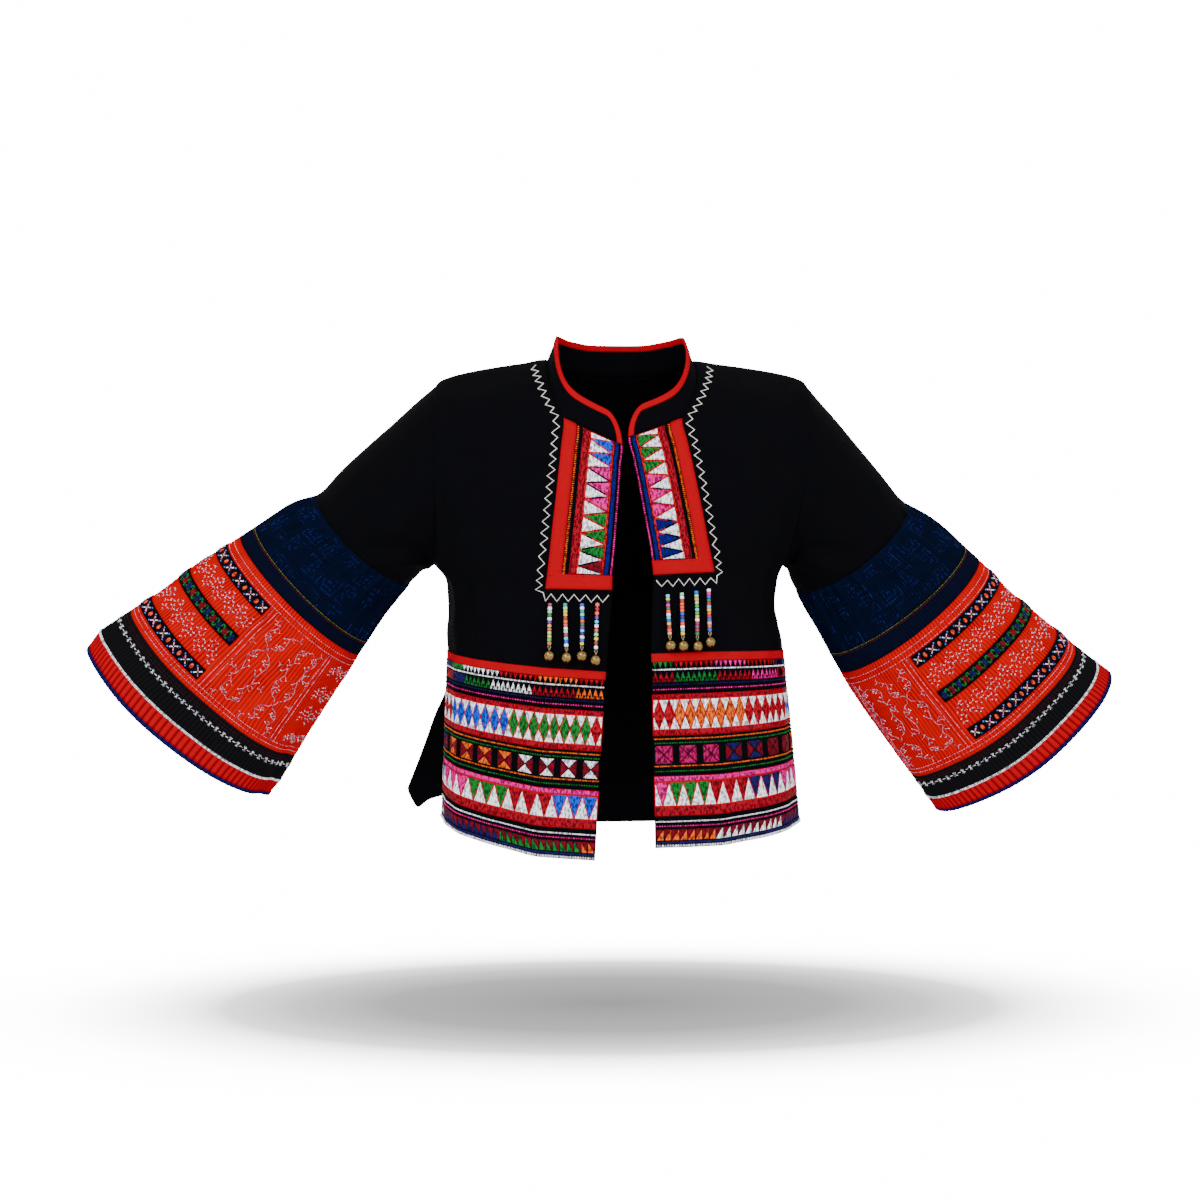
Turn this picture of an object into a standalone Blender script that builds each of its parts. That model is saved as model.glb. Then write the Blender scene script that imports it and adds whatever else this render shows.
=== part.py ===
"""Hmong embroidered jacket, worn form without a wearer, as cloth walls.

Metres, +Z up, the front faces -Y, +X is the wearer's left.  The origin is the
middle of the neck, level with the shoulders, where a hanger or a neck holds it.
"""
import math

import bmesh
import bpy
from mathutils import Vector

for thing in list(bpy.data.objects):
    bpy.data.objects.remove(thing, do_unlink=True)

WALL = 0.0015      # one layer of body cloth
TRIM = 0.0012      # a sewn-on band
LIFT = 0.0018      # from the inner face of the cloth to the underside of a band
GAP = 0.00015      # each piece stops this far short of its seam line
SEAM = 0.00080     # and the upper sleeve this far, as its seam folds sharply under the arm

SIDES = (("right", -1), ("left", 1))

# ---------------------------------------------------------------- tables
# Fronts, a row per height: the front edge, the outer edge of the neck band
# (at the neck line for rows 0 to 3) and the armhole or side seam.
# row, edge_x, edge_z, band_x, band_z, out_x, out_z
FRONT_ROWS = {
    "right": (
        (0, 0.0050, -0.0995, 0.0785, -0.0020, 0.1998, -0.0310),
        (1, 0.0050, -0.0995, 0.0795, -0.0180, 0.2030, -0.0400),
        (2, 0.0050, -0.0995, 0.0780, -0.0360, 0.2040, -0.0560),
        (3, 0.0050, -0.0995, 0.0735, -0.0540, 0.2045, -0.0770),
        (4, 0.0050, -0.0995, 0.0668, -0.0705, 0.2045, -0.1010),
        (5, 0.0070, -0.1215, 0.0700, -0.0990, 0.2042, -0.1260),
        (6, 0.0090, -0.1455, 0.0733, -0.1270, 0.2038, -0.1500),
        (7, 0.0110, -0.1700, 0.0766, -0.1550, 0.2032, -0.1730),
        (8, 0.0131, -0.1950, 0.0800, -0.1840, 0.2026, -0.1940),
        (9, 0.0152, -0.2180, 0.0830, -0.2120, 0.2022, -0.2115),
        (10, 0.0171, -0.2380, 0.0855, -0.2360, 0.2018, -0.2235),
        (11, 0.0174, -0.2534, 0.0872, -0.2520, 0.1895, -0.2380),
        (12, 0.0190, -0.2810, 0.0870, -0.2780, 0.1865, -0.2620),
        (13, 0.0215, -0.3100, 0.0865, -0.3060, 0.1858, -0.2900),
        (14, 0.0239, -0.3400, 0.0860, -0.3360, 0.1857, -0.3187),
        (24, 0.0361, -0.5400, 0.0960, -0.5360, 0.1938, -0.4990),
    ),
    "left": (
        (0, 0.0013, -0.0910, 0.0800, -0.0020, 0.2042, -0.0260),
        (1, 0.0013, -0.0910, 0.0815, -0.0180, 0.2060, -0.0360),
        (2, 0.0013, -0.0910, 0.0780, -0.0360, 0.2060, -0.0530),
        (3, 0.0013, -0.0910, 0.0700, -0.0540, 0.2045, -0.0750),
        (4, 0.0013, -0.0910, 0.0606, -0.0700, 0.2020, -0.1000),
        (5, 0.0055, -0.1130, 0.0650, -0.0950, 0.1985, -0.1260),
        (6, 0.0098, -0.1360, 0.0700, -0.1200, 0.1945, -0.1500),
        (7, 0.0140, -0.1590, 0.0750, -0.1460, 0.1905, -0.1730),
        (8, 0.0183, -0.1830, 0.0802, -0.1720, 0.1865, -0.1940),
        (9, 0.0222, -0.2040, 0.0850, -0.1980, 0.1825, -0.2120),
        (10, 0.0247, -0.2220, 0.0894, -0.2190, 0.1788, -0.2240),
        (11, 0.0264, -0.2374, 0.0923, -0.2340, 0.1728, -0.2380),
        (12, 0.0257, -0.2640, 0.0912, -0.2610, 0.1712, -0.2620),
        (13, 0.0249, -0.2920, 0.0900, -0.2890, 0.1735, -0.2910),
        (14, 0.0241, -0.3209, 0.0890, -0.3190, 0.1788, -0.3193),
        (24, 0.0277, -0.5270, 0.0980, -0.5260, 0.1943, -0.5040),
    ),
}
# Rows of the grid.  Those from 14 on are the edges of the waist bands.
ROWS = tuple(range(15)) + (14.45, 16.12, 17.2, 18.25, 19.3, 20.32, 21.35, 22.37, 23.68, 24)
BACK_LAST = ROWS[:17] + (18.25, 20.32, 22.37, 24)
NECK, BAND_END, PLACKET_END, ARMPIT, WAIST, VENT = 4, 10, 11, 10, 14, 16
# Where the fronts stand proud of the middle plane at the armhole, a row each.
ARMHOLE_Y = (0, 0.024, 0.042, 0.054, 0.061, 0.0635, 0.0605, 0.052, 0.040, 0.024, 0)
# drop below the shoulder line, depth of the front, depth of the back
DEPTH = (
    (0.000, 0.000, 0.000), (0.008, 0.020, 0.020), (0.016, 0.033, 0.032),
    (0.030, 0.048, 0.048), (0.050, 0.064, 0.063), (0.075, 0.079, 0.076),
    (0.100, 0.090, 0.085), (0.140, 0.100, 0.092), (0.200, 0.105, 0.094),
    (0.300, 0.106, 0.090), (0.400, 0.107, 0.090), (0.550, 0.113, 0.098),
)
# The back: row, half width of the middle part, height there, height at centre
BACK_ROWS = (
    (0, 0.0790, -0.0020, -0.0020), (1, 0.0620, -0.0100, -0.0100),
    (2, 0.0380, -0.0160, -0.0175), (3, 0.0450, -0.0380, -0.0390),
    (4, 0.0550, -0.0640, -0.0650), (5, 0.0630, -0.0920, -0.0930),
    (6, 0.0680, -0.1200, -0.1210), (10, 0.0720, -0.2300, -0.2320),
    (14, 0.0740, -0.3290, -0.3310), (24, 0.0780, -0.5130, -0.5160),
)
# The back below the vents: row, then out_x, out_y, out_z at each side
BACK_VENT = {
    "right": ((16.12, 0.1868, 0.000, -0.3569), (18.25, 0.2010, 0.016, -0.3920),
              (21.35, 0.2180, 0.035, -0.4420), (24, 0.2300, 0.050, -0.4830)),
    "left": ((16.12, 0.1821, 0.000, -0.3585), (18.25, 0.1835, 0.008, -0.3950),
             (21.35, 0.1850, 0.014, -0.4500), (24, 0.1860, 0.018, -0.4980)),
}
# Sleeves, a row per ring: middle_y, then top and bottom points of the wearer's
# right sleeve and of the left one, half depth, and how far the front of the
# ring runs on towards the cuff.
# ring, mid_y, rt_x, rt_z, rb_x, rb_z, lt_x, lt_z, lb_x, lb_z, half_depth, run
SLEEVE_RINGS = (
    (1, 0.0030, 0.2206, -0.0485, 0.2097, -0.2268, 0.2210, -0.0446, 0.1872, -0.2262, 0.0640, 0.0005),
    (2, 0.0060, 0.2467, -0.0725, 0.2173, -0.2311, 0.2400, -0.0653, 0.1905, -0.2315, 0.0630, 0.0020),
    (3, 0.0100, 0.2740, -0.0965, 0.2226, -0.2366, 0.2600, -0.0883, 0.1940, -0.2385, 0.0610, 0.0040),
    (4, 0.0140, 0.3024, -0.1227, 0.2269, -0.2409, 0.2890, -0.1214, 0.1980, -0.2460, 0.0580, 0.0050),
    (5, 0.0180, 0.3297, -0.1511, 0.2313, -0.2453, 0.3214, -0.1579, 0.2028, -0.2540, 0.0550, 0.0050),
    (6, 0.0240, 0.3516, -0.1586, 0.2432, -0.2596, 0.3453, -0.1711, 0.2141, -0.2729, 0.0540, 0.0040),
    (7, 0.0310, 0.3725, -0.1695, 0.2574, -0.2783, 0.3684, -0.1854, 0.2265, -0.2931, 0.0535, 0.0035),
    (8, 0.0400, 0.3980, -0.1847, 0.2772, -0.3093, 0.3932, -0.2043, 0.2439, -0.3235, 0.0530, 0.0030),
    (9, 0.0450, 0.4135, -0.1945, 0.2860, -0.3227, 0.4093, -0.2177, 0.2562, -0.3438, 0.0525, 0.0030),
    (10, 0.0494, 0.4287, -0.2045, 0.2944, -0.3370, 0.4235, -0.2306, 0.2657, -0.3590, 0.0530, 0.0030),
    (11, 0.0522, 0.4386, -0.2106, 0.3001, -0.3460, 0.4325, -0.2389, 0.2721, -0.3687, 0.0530, 0.0030),
    (12, 0.0566, 0.4545, -0.2197, 0.3095, -0.3598, 0.4463, -0.2523, 0.2824, -0.3835, 0.0535, 0.0035),
    (13, 0.0611, 0.4697, -0.2311, 0.3189, -0.3745, 0.4622, -0.2647, 0.2935, -0.3988, 0.0540, 0.0040),
    (14, 0.0639, 0.4791, -0.2382, 0.3247, -0.3835, 0.4721, -0.2723, 0.3003, -0.4083, 0.0540, 0.0045),
    (15, 0.0688, 0.4952, -0.2509, 0.3348, -0.3993, 0.4892, -0.2859, 0.3125, -0.4247, 0.0550, 0.0050),
    (16, 0.0737, 0.5120, -0.2627, 0.3450, -0.4152, 0.5069, -0.2991, 0.3248, -0.4412, 0.0555, 0.0060),
    (17, 0.0765, 0.5219, -0.2692, 0.3505, -0.4245, 0.5167, -0.3069, 0.3319, -0.4506, 0.0560, 0.0065),
    (18, 0.0800, 0.5342, -0.2773, 0.3573, -0.4361, 0.5291, -0.3167, 0.3408, -0.4624, 0.0565, 0.0075),
    (19, 0.0830, 0.5510, -0.2885, 0.3657, -0.4508, 0.5427, -0.3265, 0.3501, -0.4746, 0.0570, 0.0090),
    (20, 0.0860, 0.5677, -0.2996, 0.3742, -0.4644, 0.5564, -0.3364, 0.3594, -0.4869, 0.0575, 0.0105),
    (21, 0.0890, 0.5802, -0.3150, 0.3849, -0.4780, 0.5705, -0.3457, 0.3706, -0.5003, 0.0580, 0.0120),
    (22, 0.0900, 0.5830, -0.3186, 0.3870, -0.4812, 0.5740, -0.3485, 0.3730, -0.5032, 0.0580, 0.0125),
)
SWEEP = math.radians(13)
# sleeve piece, first ring, last ring, colour
SLEEVE_PIECES = (
    ("sleeve_upper", 0, 5, "black"), ("sleeve_batik", 5, 8, "indigo"),
    ("sleeve_strip", 8, 9, "navy"), ("sleeve_flare", 9, 18, "red"),
    ("cuff_band", 18, 20, "black"), ("cuff_border", 20, 21, "red"),
    ("cuff_piping", 21, 22, "royal"),
)
# Ribbons sewn across the upper half of the flare: number, first and last ring
FLARE_RIBBONS = ((1, 10, 11, "white"), (2, 13, 14, "green"), (3, 16, 17, "white"))
# Collar: place, rise and lean inwards at the back, at the sides and at the front ends
COLLAR_RISE = {"back": (0.0390, 0.0060), "side": (0.0270, 0.0110), "front": (0.0310, 0.0060)}
BINDING = 0.0065
# Waist bands on each front: name, first row, last row, colour
WAIST_BANDS = (
    ("waist_binding", 14, 15, "red"), ("waist_teeth", 15, 16, "navy"),
    ("waist_diamonds", 16, 18, "white"), ("waist_hourglass", 18, 20, "orange"),
    ("waist_triangles", 20, 22, "crimson"), ("waist_small", 22, 23, "green"),
    ("hem_cord", 23, 24, "royal"),
)
BAND_COLS = (0.0, 0.39, 0.78, 1.0)       # across the neck band
SIDE_COLS = 8                            # from the neck band to the side
# Strings of beads: top x, top z, bell x, bell z
STRANDS = {
    "right": ((0.0831, 0.2672, 0.0844, 0.3229), (0.0672, 0.2672, 0.0660, 0.3247),
              (0.0496, 0.2675, 0.0501, 0.3230), (0.0332, 0.2668, 0.0357, 0.3275)),
    "left": ((0.0417, 0.2580, 0.0440, 0.3120), (0.0571, 0.2560, 0.0578, 0.3125),
             (0.0729, 0.2540, 0.0737, 0.3128), (0.0867, 0.2520, 0.0874, 0.3085)),
}
BEAD_R, BELL_R = 0.0023, 0.0056

COLOURS = {
    "black": (0.010, 0.010, 0.013, 1), "indigo": (0.012, 0.030, 0.100, 1),
    "navy": (0.010, 0.015, 0.080, 1), "red": (0.620, 0.020, 0.020, 1),
    "royal": (0.015, 0.050, 0.420, 1), "white": (0.750, 0.750, 0.760, 1),
    "green": (0.030, 0.330, 0.060, 1), "orange": (0.850, 0.220, 0.030, 1),
    "crimson": (0.430, 0.010, 0.030, 1), "bead": (0.100, 0.450, 0.620, 1),
    "brass": (0.600, 0.480, 0.220, 1),
}


# ---------------------------------------------------------------- helpers
def between(table, at):
    """Values of a table whose first column is the key, at any key."""
    last = table[0]
    for row in table:
        if row[0] >= at:
            if row[0] == last[0]:
                return row[1:]
            t = (at - last[0]) / (row[0] - last[0])
            return tuple(a + (b - a) * t for a, b in zip(last[1:], row[1:]))
        last = row
    return table[-1][1:]


def material(node, colour):
    made = bpy.data.materials.new(node)
    made.use_nodes = True
    shader = next(n for n in made.node_tree.nodes if n.type == "BSDF_PRINCIPLED")
    shader.inputs["Base Color"].default_value = COLOURS[colour]
    shader.inputs["Roughness"].default_value = 0.35 if colour == "brass" else 0.85
    shader.inputs["Metallic"].default_value = 1.0 if colour == "brass" else 0.0
    return made


def finish(bm, node, colour, smooth=False):
    bmesh.ops.recalc_face_normals(bm, faces=bm.faces)
    mesh = bpy.data.meshes.new(node)
    bm.to_mesh(mesh)
    bm.free()
    for face in mesh.polygons:
        face.use_smooth = smooth
    mesh.materials.append(material(node, colour))
    made = bpy.data.objects.new(node, mesh)
    bpy.context.scene.collection.objects.link(made)
    return made


class Panel:
    """A grid of points on the inner face of a cloth, rows by columns."""

    def __init__(self, points, wrap=False, skip=lambda r, c: False, away=Vector((0, 0, 0))):
        self.points, self.wrap = points, wrap
        self.rows, self.cols = len(points), len(points[0])
        across = self.cols if wrap else self.cols - 1
        self.cells = {(r, c) for r in range(self.rows - 1) for c in range(across) if not skip(r, c)}
        facing = 0.0
        for cell in self.cells:
            n = self.normal(cell)
            middle = sum((self.at(k) for k in self.corners(cell)), Vector()) / 4
            reference = away(middle) if callable(away) else middle - away
            facing += n.dot(reference)
        self.sign = 1 if facing > 0 else -1
        self.push = {}

    def corners(self, cell):
        r, c = cell
        d = (c + 1) % self.cols
        return (r, c), (r, d), (r + 1, d), (r + 1, c)

    def at(self, key):
        return self.points[key[0]][key[1]]

    def normal(self, cell):
        a, b, c, d = (self.at(k) for k in self.corners(cell))
        return (c - a).cross(d - b)


def share_normals(panels):
    """Mitred outward directions, shared by every panel that meets at a point."""
    found = {}

    def key(p):
        return tuple(round(v * 1e5) for v in p)

    for panel in panels:
        for cell in panel.cells:
            n = panel.normal(cell) * panel.sign
            for corner in panel.corners(cell):
                found.setdefault(key(panel.at(corner)), []).append(n)
    for panel in panels:
        for cell in panel.cells:
            for corner in panel.corners(cell):
                if corner in panel.push:
                    continue
                faces = found[key(panel.at(corner))]
                total = sum(faces, Vector())
                n = total.normalized()
                lean = sum(n.dot(f) for f in faces) / sum(f.length for f in faces)
                panel.push[corner] = n / max(0.4, lean)


def shell(node, panel, cells, lift, wall, colour, gap=GAP):
    """A closed cloth wall over some cells of a panel, held off its seams."""
    edges, shift = {}, {}
    for cell in cells:
        ring = panel.corners(cell)
        middle = sum((panel.at(k) for k in ring), Vector()) / 4
        for a, b in zip(ring, ring[1:] + ring[:1]):
            edges.setdefault(frozenset((a, b)), []).append((a, b, middle))
    rims = [uses[0] for uses in edges.values() if len(uses) == 1]
    for a, b, middle in rims:
        along = (panel.at(b) - panel.at(a)).normalized()
        inward = middle - (panel.at(a) + panel.at(b)) / 2
        inward = (inward - along * inward.dot(along)).normalized()
        for k in (a, b):
            shift.setdefault(k, []).append(inward)
    bm = bmesh.new()
    inner, outer = {}, {}
    for cell in cells:
        for k in panel.corners(cell):
            if k in inner:
                continue
            p = panel.at(k).copy()
            pulls = shift.get(k, [])
            if len(pulls) == 2:
                p += (pulls[0] + pulls[1]) * (gap / max(0.35, 1 + pulls[0].dot(pulls[1])))
            elif pulls:
                p += sum(pulls, Vector()).normalized() * gap
            inner[k] = bm.verts.new(p + panel.push[k] * lift)
            outer[k] = bm.verts.new(p + panel.push[k] * (lift + wall))
    for cell in cells:
        ring = panel.corners(cell)
        for tri in ((0, 1, 2), (0, 2, 3)):
            keys = [ring[i] for i in tri]
            if panel.sign < 0:
                keys.reverse()
            bm.faces.new([outer[k] for k in keys])
            bm.faces.new([inner[k] for k in reversed(keys)])
    for a, b, _ in rims:
        quad = [inner[a], inner[b], outer[b], outer[a]]
        if panel.sign < 0:
            quad.reverse()
        bm.faces.new(quad)
    return finish(bm, node, colour)


def block(rows, cols):
    return {(r, c) for r in range(*rows) for c in range(*cols)}


# ---------------------------------------------------------------- the form
def shoulder_z(side, x):
    (_, _, neck_x, neck_z, tip_x, tip_z) = between(FRONT_ROWS[side], 0)
    if x < neck_x:
        return neck_z + (neck_x - x) * 0.10
    return neck_z + (tip_z - neck_z) * (x - neck_x) / (tip_x - neck_x)


def body_y(side, x, z, out_x, row, column):
    """Depth of the worn body at a point of a row: column 1 is the front, 2 the back."""
    drop = max(0.0, shoulder_z(side, min(x, 0.2)) - z)
    depth = between(DEPTH, drop)[column - 1]
    hole = ARMHOLE_Y[min(int(round(row)), ARMPIT)] if row <= ARMPIT else 0.0
    bulge = 1 - 0.55 * min(1.0, row / ARMPIT) ** 1.5
    t = min(1.0, x / out_x)
    return hole + (depth - hole) * (1 - t ** 2.3) ** bulge


def front_grid(side, sign):
    grid = []
    for k, row in enumerate(ROWS):
        edge_x, edge_z, band_x, band_z, out_x, out_z = between(FRONT_ROWS[side], row)
        line = []
        for f in BAND_COLS:
            x = edge_x + (band_x - edge_x) * f
            z = edge_z + (band_z - edge_z) * f
            line.append((x, z))
        start = math.asin(band_x / out_x)
        for i in range(1, SIDE_COLS + 1):
            a = start + (math.pi / 2 - start) * i / SIDE_COLS
            g = i / SIDE_COLS
            line.append((out_x * math.sin(a), band_z + (out_z - band_z) * g))
        points = []
        for x, z in line:
            y = body_y(side, x, z, out_x, row, 1)
            if k > VENT:          # the side edge stands a little forward below the vent
                y += 0.015 * (row - 16.12) / 7.88 * (x / out_x) ** 6
            points.append(Vector((sign * x, -y, z)))
        grid.append(points)
    return grid


def back_grid(fronts):
    """From the wearer's right to the left; shares the seams of the fronts."""
    grid, middle = [], 6
    for k, row in enumerate(BACK_LAST):
        half, half_z, centre_z = between(BACK_ROWS, row)
        wings = {}
        for side, sign in SIDES:
            _, _, band_x, band_z, out_x, out_z = between(FRONT_ROWS[side], row)
            out_y = 0.0
            inner_x, inner_z = (band_x, band_z) if k == 0 else (half, half_z)
            if k > VENT:
                out_x, out_y, out_z = between(BACK_VENT[side], row)
            start = math.asin(inner_x / out_x)
            wing = []
            for i in range(SIDE_COLS + 1):
                a = start + (math.pi / 2 - start) * i / SIDE_COLS
                x = out_x * math.sin(a)
                z = inner_z + (out_z - inner_z) * i / SIDE_COLS
                y = body_y(side, x, z, out_x, row, 2) + out_y * (x / out_x) ** 3
                wing.append(Vector((sign * x, y, z)))
            if k <= VENT:
                wing[-1] = fronts[side][k][-1].copy() if k in (0,) or k >= ARMPIT else wing[-1]
            wings[side] = wing
        line = list(reversed(wings["right"]))
        a, b = wings["right"][0], wings["left"][0]
        for i in range(1, middle):
            t = i / middle
            bow = 1 - (2 * t - 1) ** 2
            x = a.x + (b.x - a.x) * t
            z = a.z + (b.z - a.z) * t + (centre_z - half_z) * bow
            side = "right" if x < 0 else "left"
            y = body_y(side, abs(x), z, 0.2, row, 2)
            line.append(Vector((x, y, z)))
        line += wings["left"]
        grid.append(line)
    return grid


def sleeve_grid(side, sign, front, back):
    """Rings from the armhole to the cuff: top, front, underarm, back."""
    last = SIDE_COLS + len(BAND_COLS) - 1
    end = 0 if side == "right" else len(back[0]) - 1
    hole = [front[r][last] for r in range(ARMPIT + 1)]
    hole += [back[r][end] for r in range(ARMPIT - 1, 0, -1)]
    rings = [hole]
    count = len(hole)
    for row in SLEEVE_RINGS:
        mid_y = row[1]
        tx, tz, bx, bz = row[2:6] if side == "right" else row[6:10]
        depth, run = row[10:12]
        top, low = Vector((sign * tx, mid_y, tz)), Vector((sign * bx, mid_y, bz))
        middle, up = (top + low) / 2, (top - low) / 2
        ahead = Vector((-up.z, 0, up.x)).normalized()
        if ahead.x * sign < 0:
            ahead = -ahead
        ring = []
        for i in range(count):
            a = 2 * math.pi * i / count
            sweep = SWEEP * min(1.0, max(0.0, (row[0] - 1) / 4))
            side_way = Vector((0, -math.cos(sweep), 0)) + ahead * math.sin(sweep)
            p = middle + up * math.cos(a) + side_way * depth * math.sin(a)
            p += ahead * run * math.sin(a) ** 2
            if row[0] < 4:                    # ease out of the shape of the armhole
                share = (1 + math.cos(a)) / 2
                eased = hole[i] + (top - hole[0]) * share + (low - hole[count // 2]) * (1 - share)
                p = eased.lerp(p, (0.25, 0.55, 0.85)[row[0] - 1])
            ring.append(p)
        rings.append(ring)
    return rings


def collar_grid(ring, rises):
    """Base, a line half way up, the foot of the binding, and the top edge."""
    grid = [list(ring)]
    for part in ("half", "binding", "top"):
        line = []
        for p, (rise, lean) in zip(ring, rises):
            share = {"half": 0.5, "binding": 1 - BINDING / rise, "top": 1.0}[part]
            out = Vector((p.x, p.y + 0.018, 0)).normalized()
            line.append(p + Vector((0, 0, rise * share)) - out * lean * share)
        grid.append(line)
    return grid


# ---------------------------------------------------------------- build
ALL_COLS = len(BAND_COLS) - 1 + SIDE_COLS
fronts = {side: front_grid(side, sign) for side, sign in SIDES}
back_points = back_grid(fronts)
panels = {}
for side, sign in SIDES:
    panels["front", side] = Panel(
        fronts[side], skip=lambda r, c: r < NECK and c < len(BAND_COLS) - 1,
        away=lambda p: Vector((p.x, p.y, 0)))
panels["back"] = Panel(
    back_points, skip=lambda r, c: r < 2 and SIDE_COLS <= c < SIDE_COLS + 6,
    away=lambda p: Vector((p.x, p.y, 0)))
for side, sign in SIDES:
    rings = sleeve_grid(side, sign, fronts[side], back_points)
    middles = [sum(ring, Vector()) / len(ring) for ring in rings]
    panels["sleeve", side] = Panel(
        rings, wrap=True,
        away=lambda p, m=middles: p - min(m, key=lambda q: (q - p).length))

neck = len(BAND_COLS) - 1


def half_neck(side):
    """Neck line of one front, from its front edge to the shoulder."""
    front = fronts[side]
    return [front[NECK][c] for c in range(neck + 1)] + [front[r][neck] for r in range(NECK - 1, -1, -1)]


right_back = [back_points[1][SIDE_COLS], back_points[2][SIDE_COLS]]
middle_back = back_points[2][SIDE_COLS + 1:SIDE_COLS + 6]
left_back = [back_points[2][SIDE_COLS + 6], back_points[1][SIDE_COLS + 6]]
neck_ring = half_neck("right") + right_back + middle_back + left_back + list(reversed(half_neck("left")))
rises = []
for p in neck_ring:
    t = (p.y + 0.095) / 0.15                      # 0 at the front ends, 1 at the back
    rise_f, lean_f = COLLAR_RISE["front"]
    rise_s, lean_s = COLLAR_RISE["side"]
    rise_b, lean_b = COLLAR_RISE["back"]
    if t < 0.62:
        k = max(0.0, t / 0.62)
        rises.append((rise_f + (rise_s - rise_f) * k, lean_f + (lean_s - lean_f) * k))
    else:
        k = min(1.0, (t - 0.62) / 0.38)
        rises.append((rise_s + (rise_b - rise_s) * k, lean_s + (lean_b - lean_s) * k))
collar_points = collar_grid(neck_ring, rises)
panels["collar"] = Panel(collar_points, away=lambda p: Vector((p.x, p.y + 0.018, 0)))
share_normals(panels.values())

shell("back", panels["back"], panels["back"].cells, 0, WALL, "black")
collar_cols = (0, len(neck_ring) - 1)
shell("collar", panels["collar"], block((0, 2), collar_cols), 0, WALL, "black")
shell("collar_binding", panels["collar"], block((2, 3), collar_cols), 0, WALL, "red")
for side, sign in SIDES:
    front, sleeve = panels["front", side], panels["sleeve", side]
    shell("front_" + side, front, front.cells, 0, WALL, "black")
    border = block((NECK, BAND_END), (neck - 1, neck)) | block((BAND_END, PLACKET_END), (0, neck))
    shell("placket_border_" + side, front, border, LIFT, TRIM, "red")
    shell("placket_ribbon_" + side, front, block((NECK, BAND_END), (0, neck - 1)), LIFT, TRIM, "white")
    for name, first, last, colour in WAIST_BANDS:
        shell(name + "_" + side, front, block((first, last), (0, ALL_COLS)), LIFT, TRIM, colour)
    around = len(sleeve.points[0])
    for name, first, last, colour in SLEEVE_PIECES:
        shell(name + "_" + side, sleeve, block((first, last), (0, around)), 0, WALL, colour,
              SEAM if name == "sleeve_upper" else GAP)
    front_end = around // 4 + (1 if side == "left" else 0)     # the left sleeve's ribbons come further round
    upper = {c % around for c in range(-around // 4, front_end)}
    for number, first, last, colour in FLARE_RIBBONS:
        cells = {(first, c) for c in upper}
        shell("flare_ribbon_%s_%d" % (side, number), sleeve, cells, LIFT, TRIM, colour)


def front_y(side, x, z):
    """Outer face of the bands on a front near a point, for what hangs on it."""
    best = min((p for line in fronts[side] for p in line),
               key=lambda p: (abs(p.x) - x) ** 2 + (p.z - z) ** 2)
    return body_y(side, x, z, 0.186, 14, 1) + (LIFT + TRIM if best.z > -0.8 else 0)


def turned(node, outline, axis_top, axis_low, sides, colour):
    """A round piece: radius and share of the way down for each ring."""
    along = axis_low - axis_top
    way = along.normalized()
    u = way.cross(Vector((0, 1, 0))).normalized()
    v = way.cross(u)
    bm = bmesh.new()
    rings = []
    for radius, share in outline:
        centre = axis_top + along * share
        if radius == 0:
            rings.append([bm.verts.new(centre)])
        else:
            rings.append([bm.verts.new(centre + (u * math.cos(2 * math.pi * i / sides)
                          + v * math.sin(2 * math.pi * i / sides)) * radius) for i in range(sides)])
    for a, b in zip(rings, rings[1:]):
        for i in range(sides):
            j = (i + 1) % sides
            if len(a) == 1:
                bm.faces.new((a[0], b[j], b[i]))
            elif len(b) == 1:
                bm.faces.new((a[i], a[j], b[0]))
            else:
                bm.faces.new((a[i], a[j], b[j], b[i]))
    return finish(bm, node, colour, smooth=True)


for side, sign in SIDES:
    for number, (top_x, top_z, bell_x, bell_z) in enumerate(STRANDS[side], 1):
        y_top = -(front_y(side, top_x, -top_z) + BEAD_R + 0.0006)
        y_low = -(front_y(side, bell_x, -bell_z) + BELL_R + 0.0008)
        top = Vector((sign * top_x, y_top, -top_z))
        bell = Vector((sign * bell_x, y_low, -bell_z))
        way = (bell - top).normalized()
        loop = bell - way * (BELL_R + 0.0050)
        beads = ((0, 0), (0.0016, 0.0), (BEAD_R, 0.03), (BEAD_R, 0.97), (0.0016, 1.0), (0, 1.0))
        beads = ((0, -0.001),) + beads[1:5] + ((0, 1.001),)
        turned("bead_strand_%s_%d" % (side, number), beads, top, loop, 8, "bead")
        stem = loop + way * 0.0006
        length = (bell + way * BELL_R - stem).length
        r = BELL_R
        outline = [(0, -0.001), (0.0011, 0.0), (0.0011, (length - 2 * r) / length)]
        for i in range(2, 8):
            a = math.pi * i / 8
            outline.append((r * math.sin(a), (length - r - r * math.cos(a)) / length))
        outline.append((0, 1.0))
        turned("bell_%s_%d" % (side, number), outline, stem, bell + way * r, 12, "brass")
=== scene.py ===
"""Looks of the embroidered jacket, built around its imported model.

Metres, +Z up, the front faces -Y, +X is the wearer's left; "right" and "left" are the wearer's.
"""
import copy
import math
import random

import bmesh
import bpy
import numpy as np
from mathutils import Matrix, Quaternion, Vector


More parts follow.
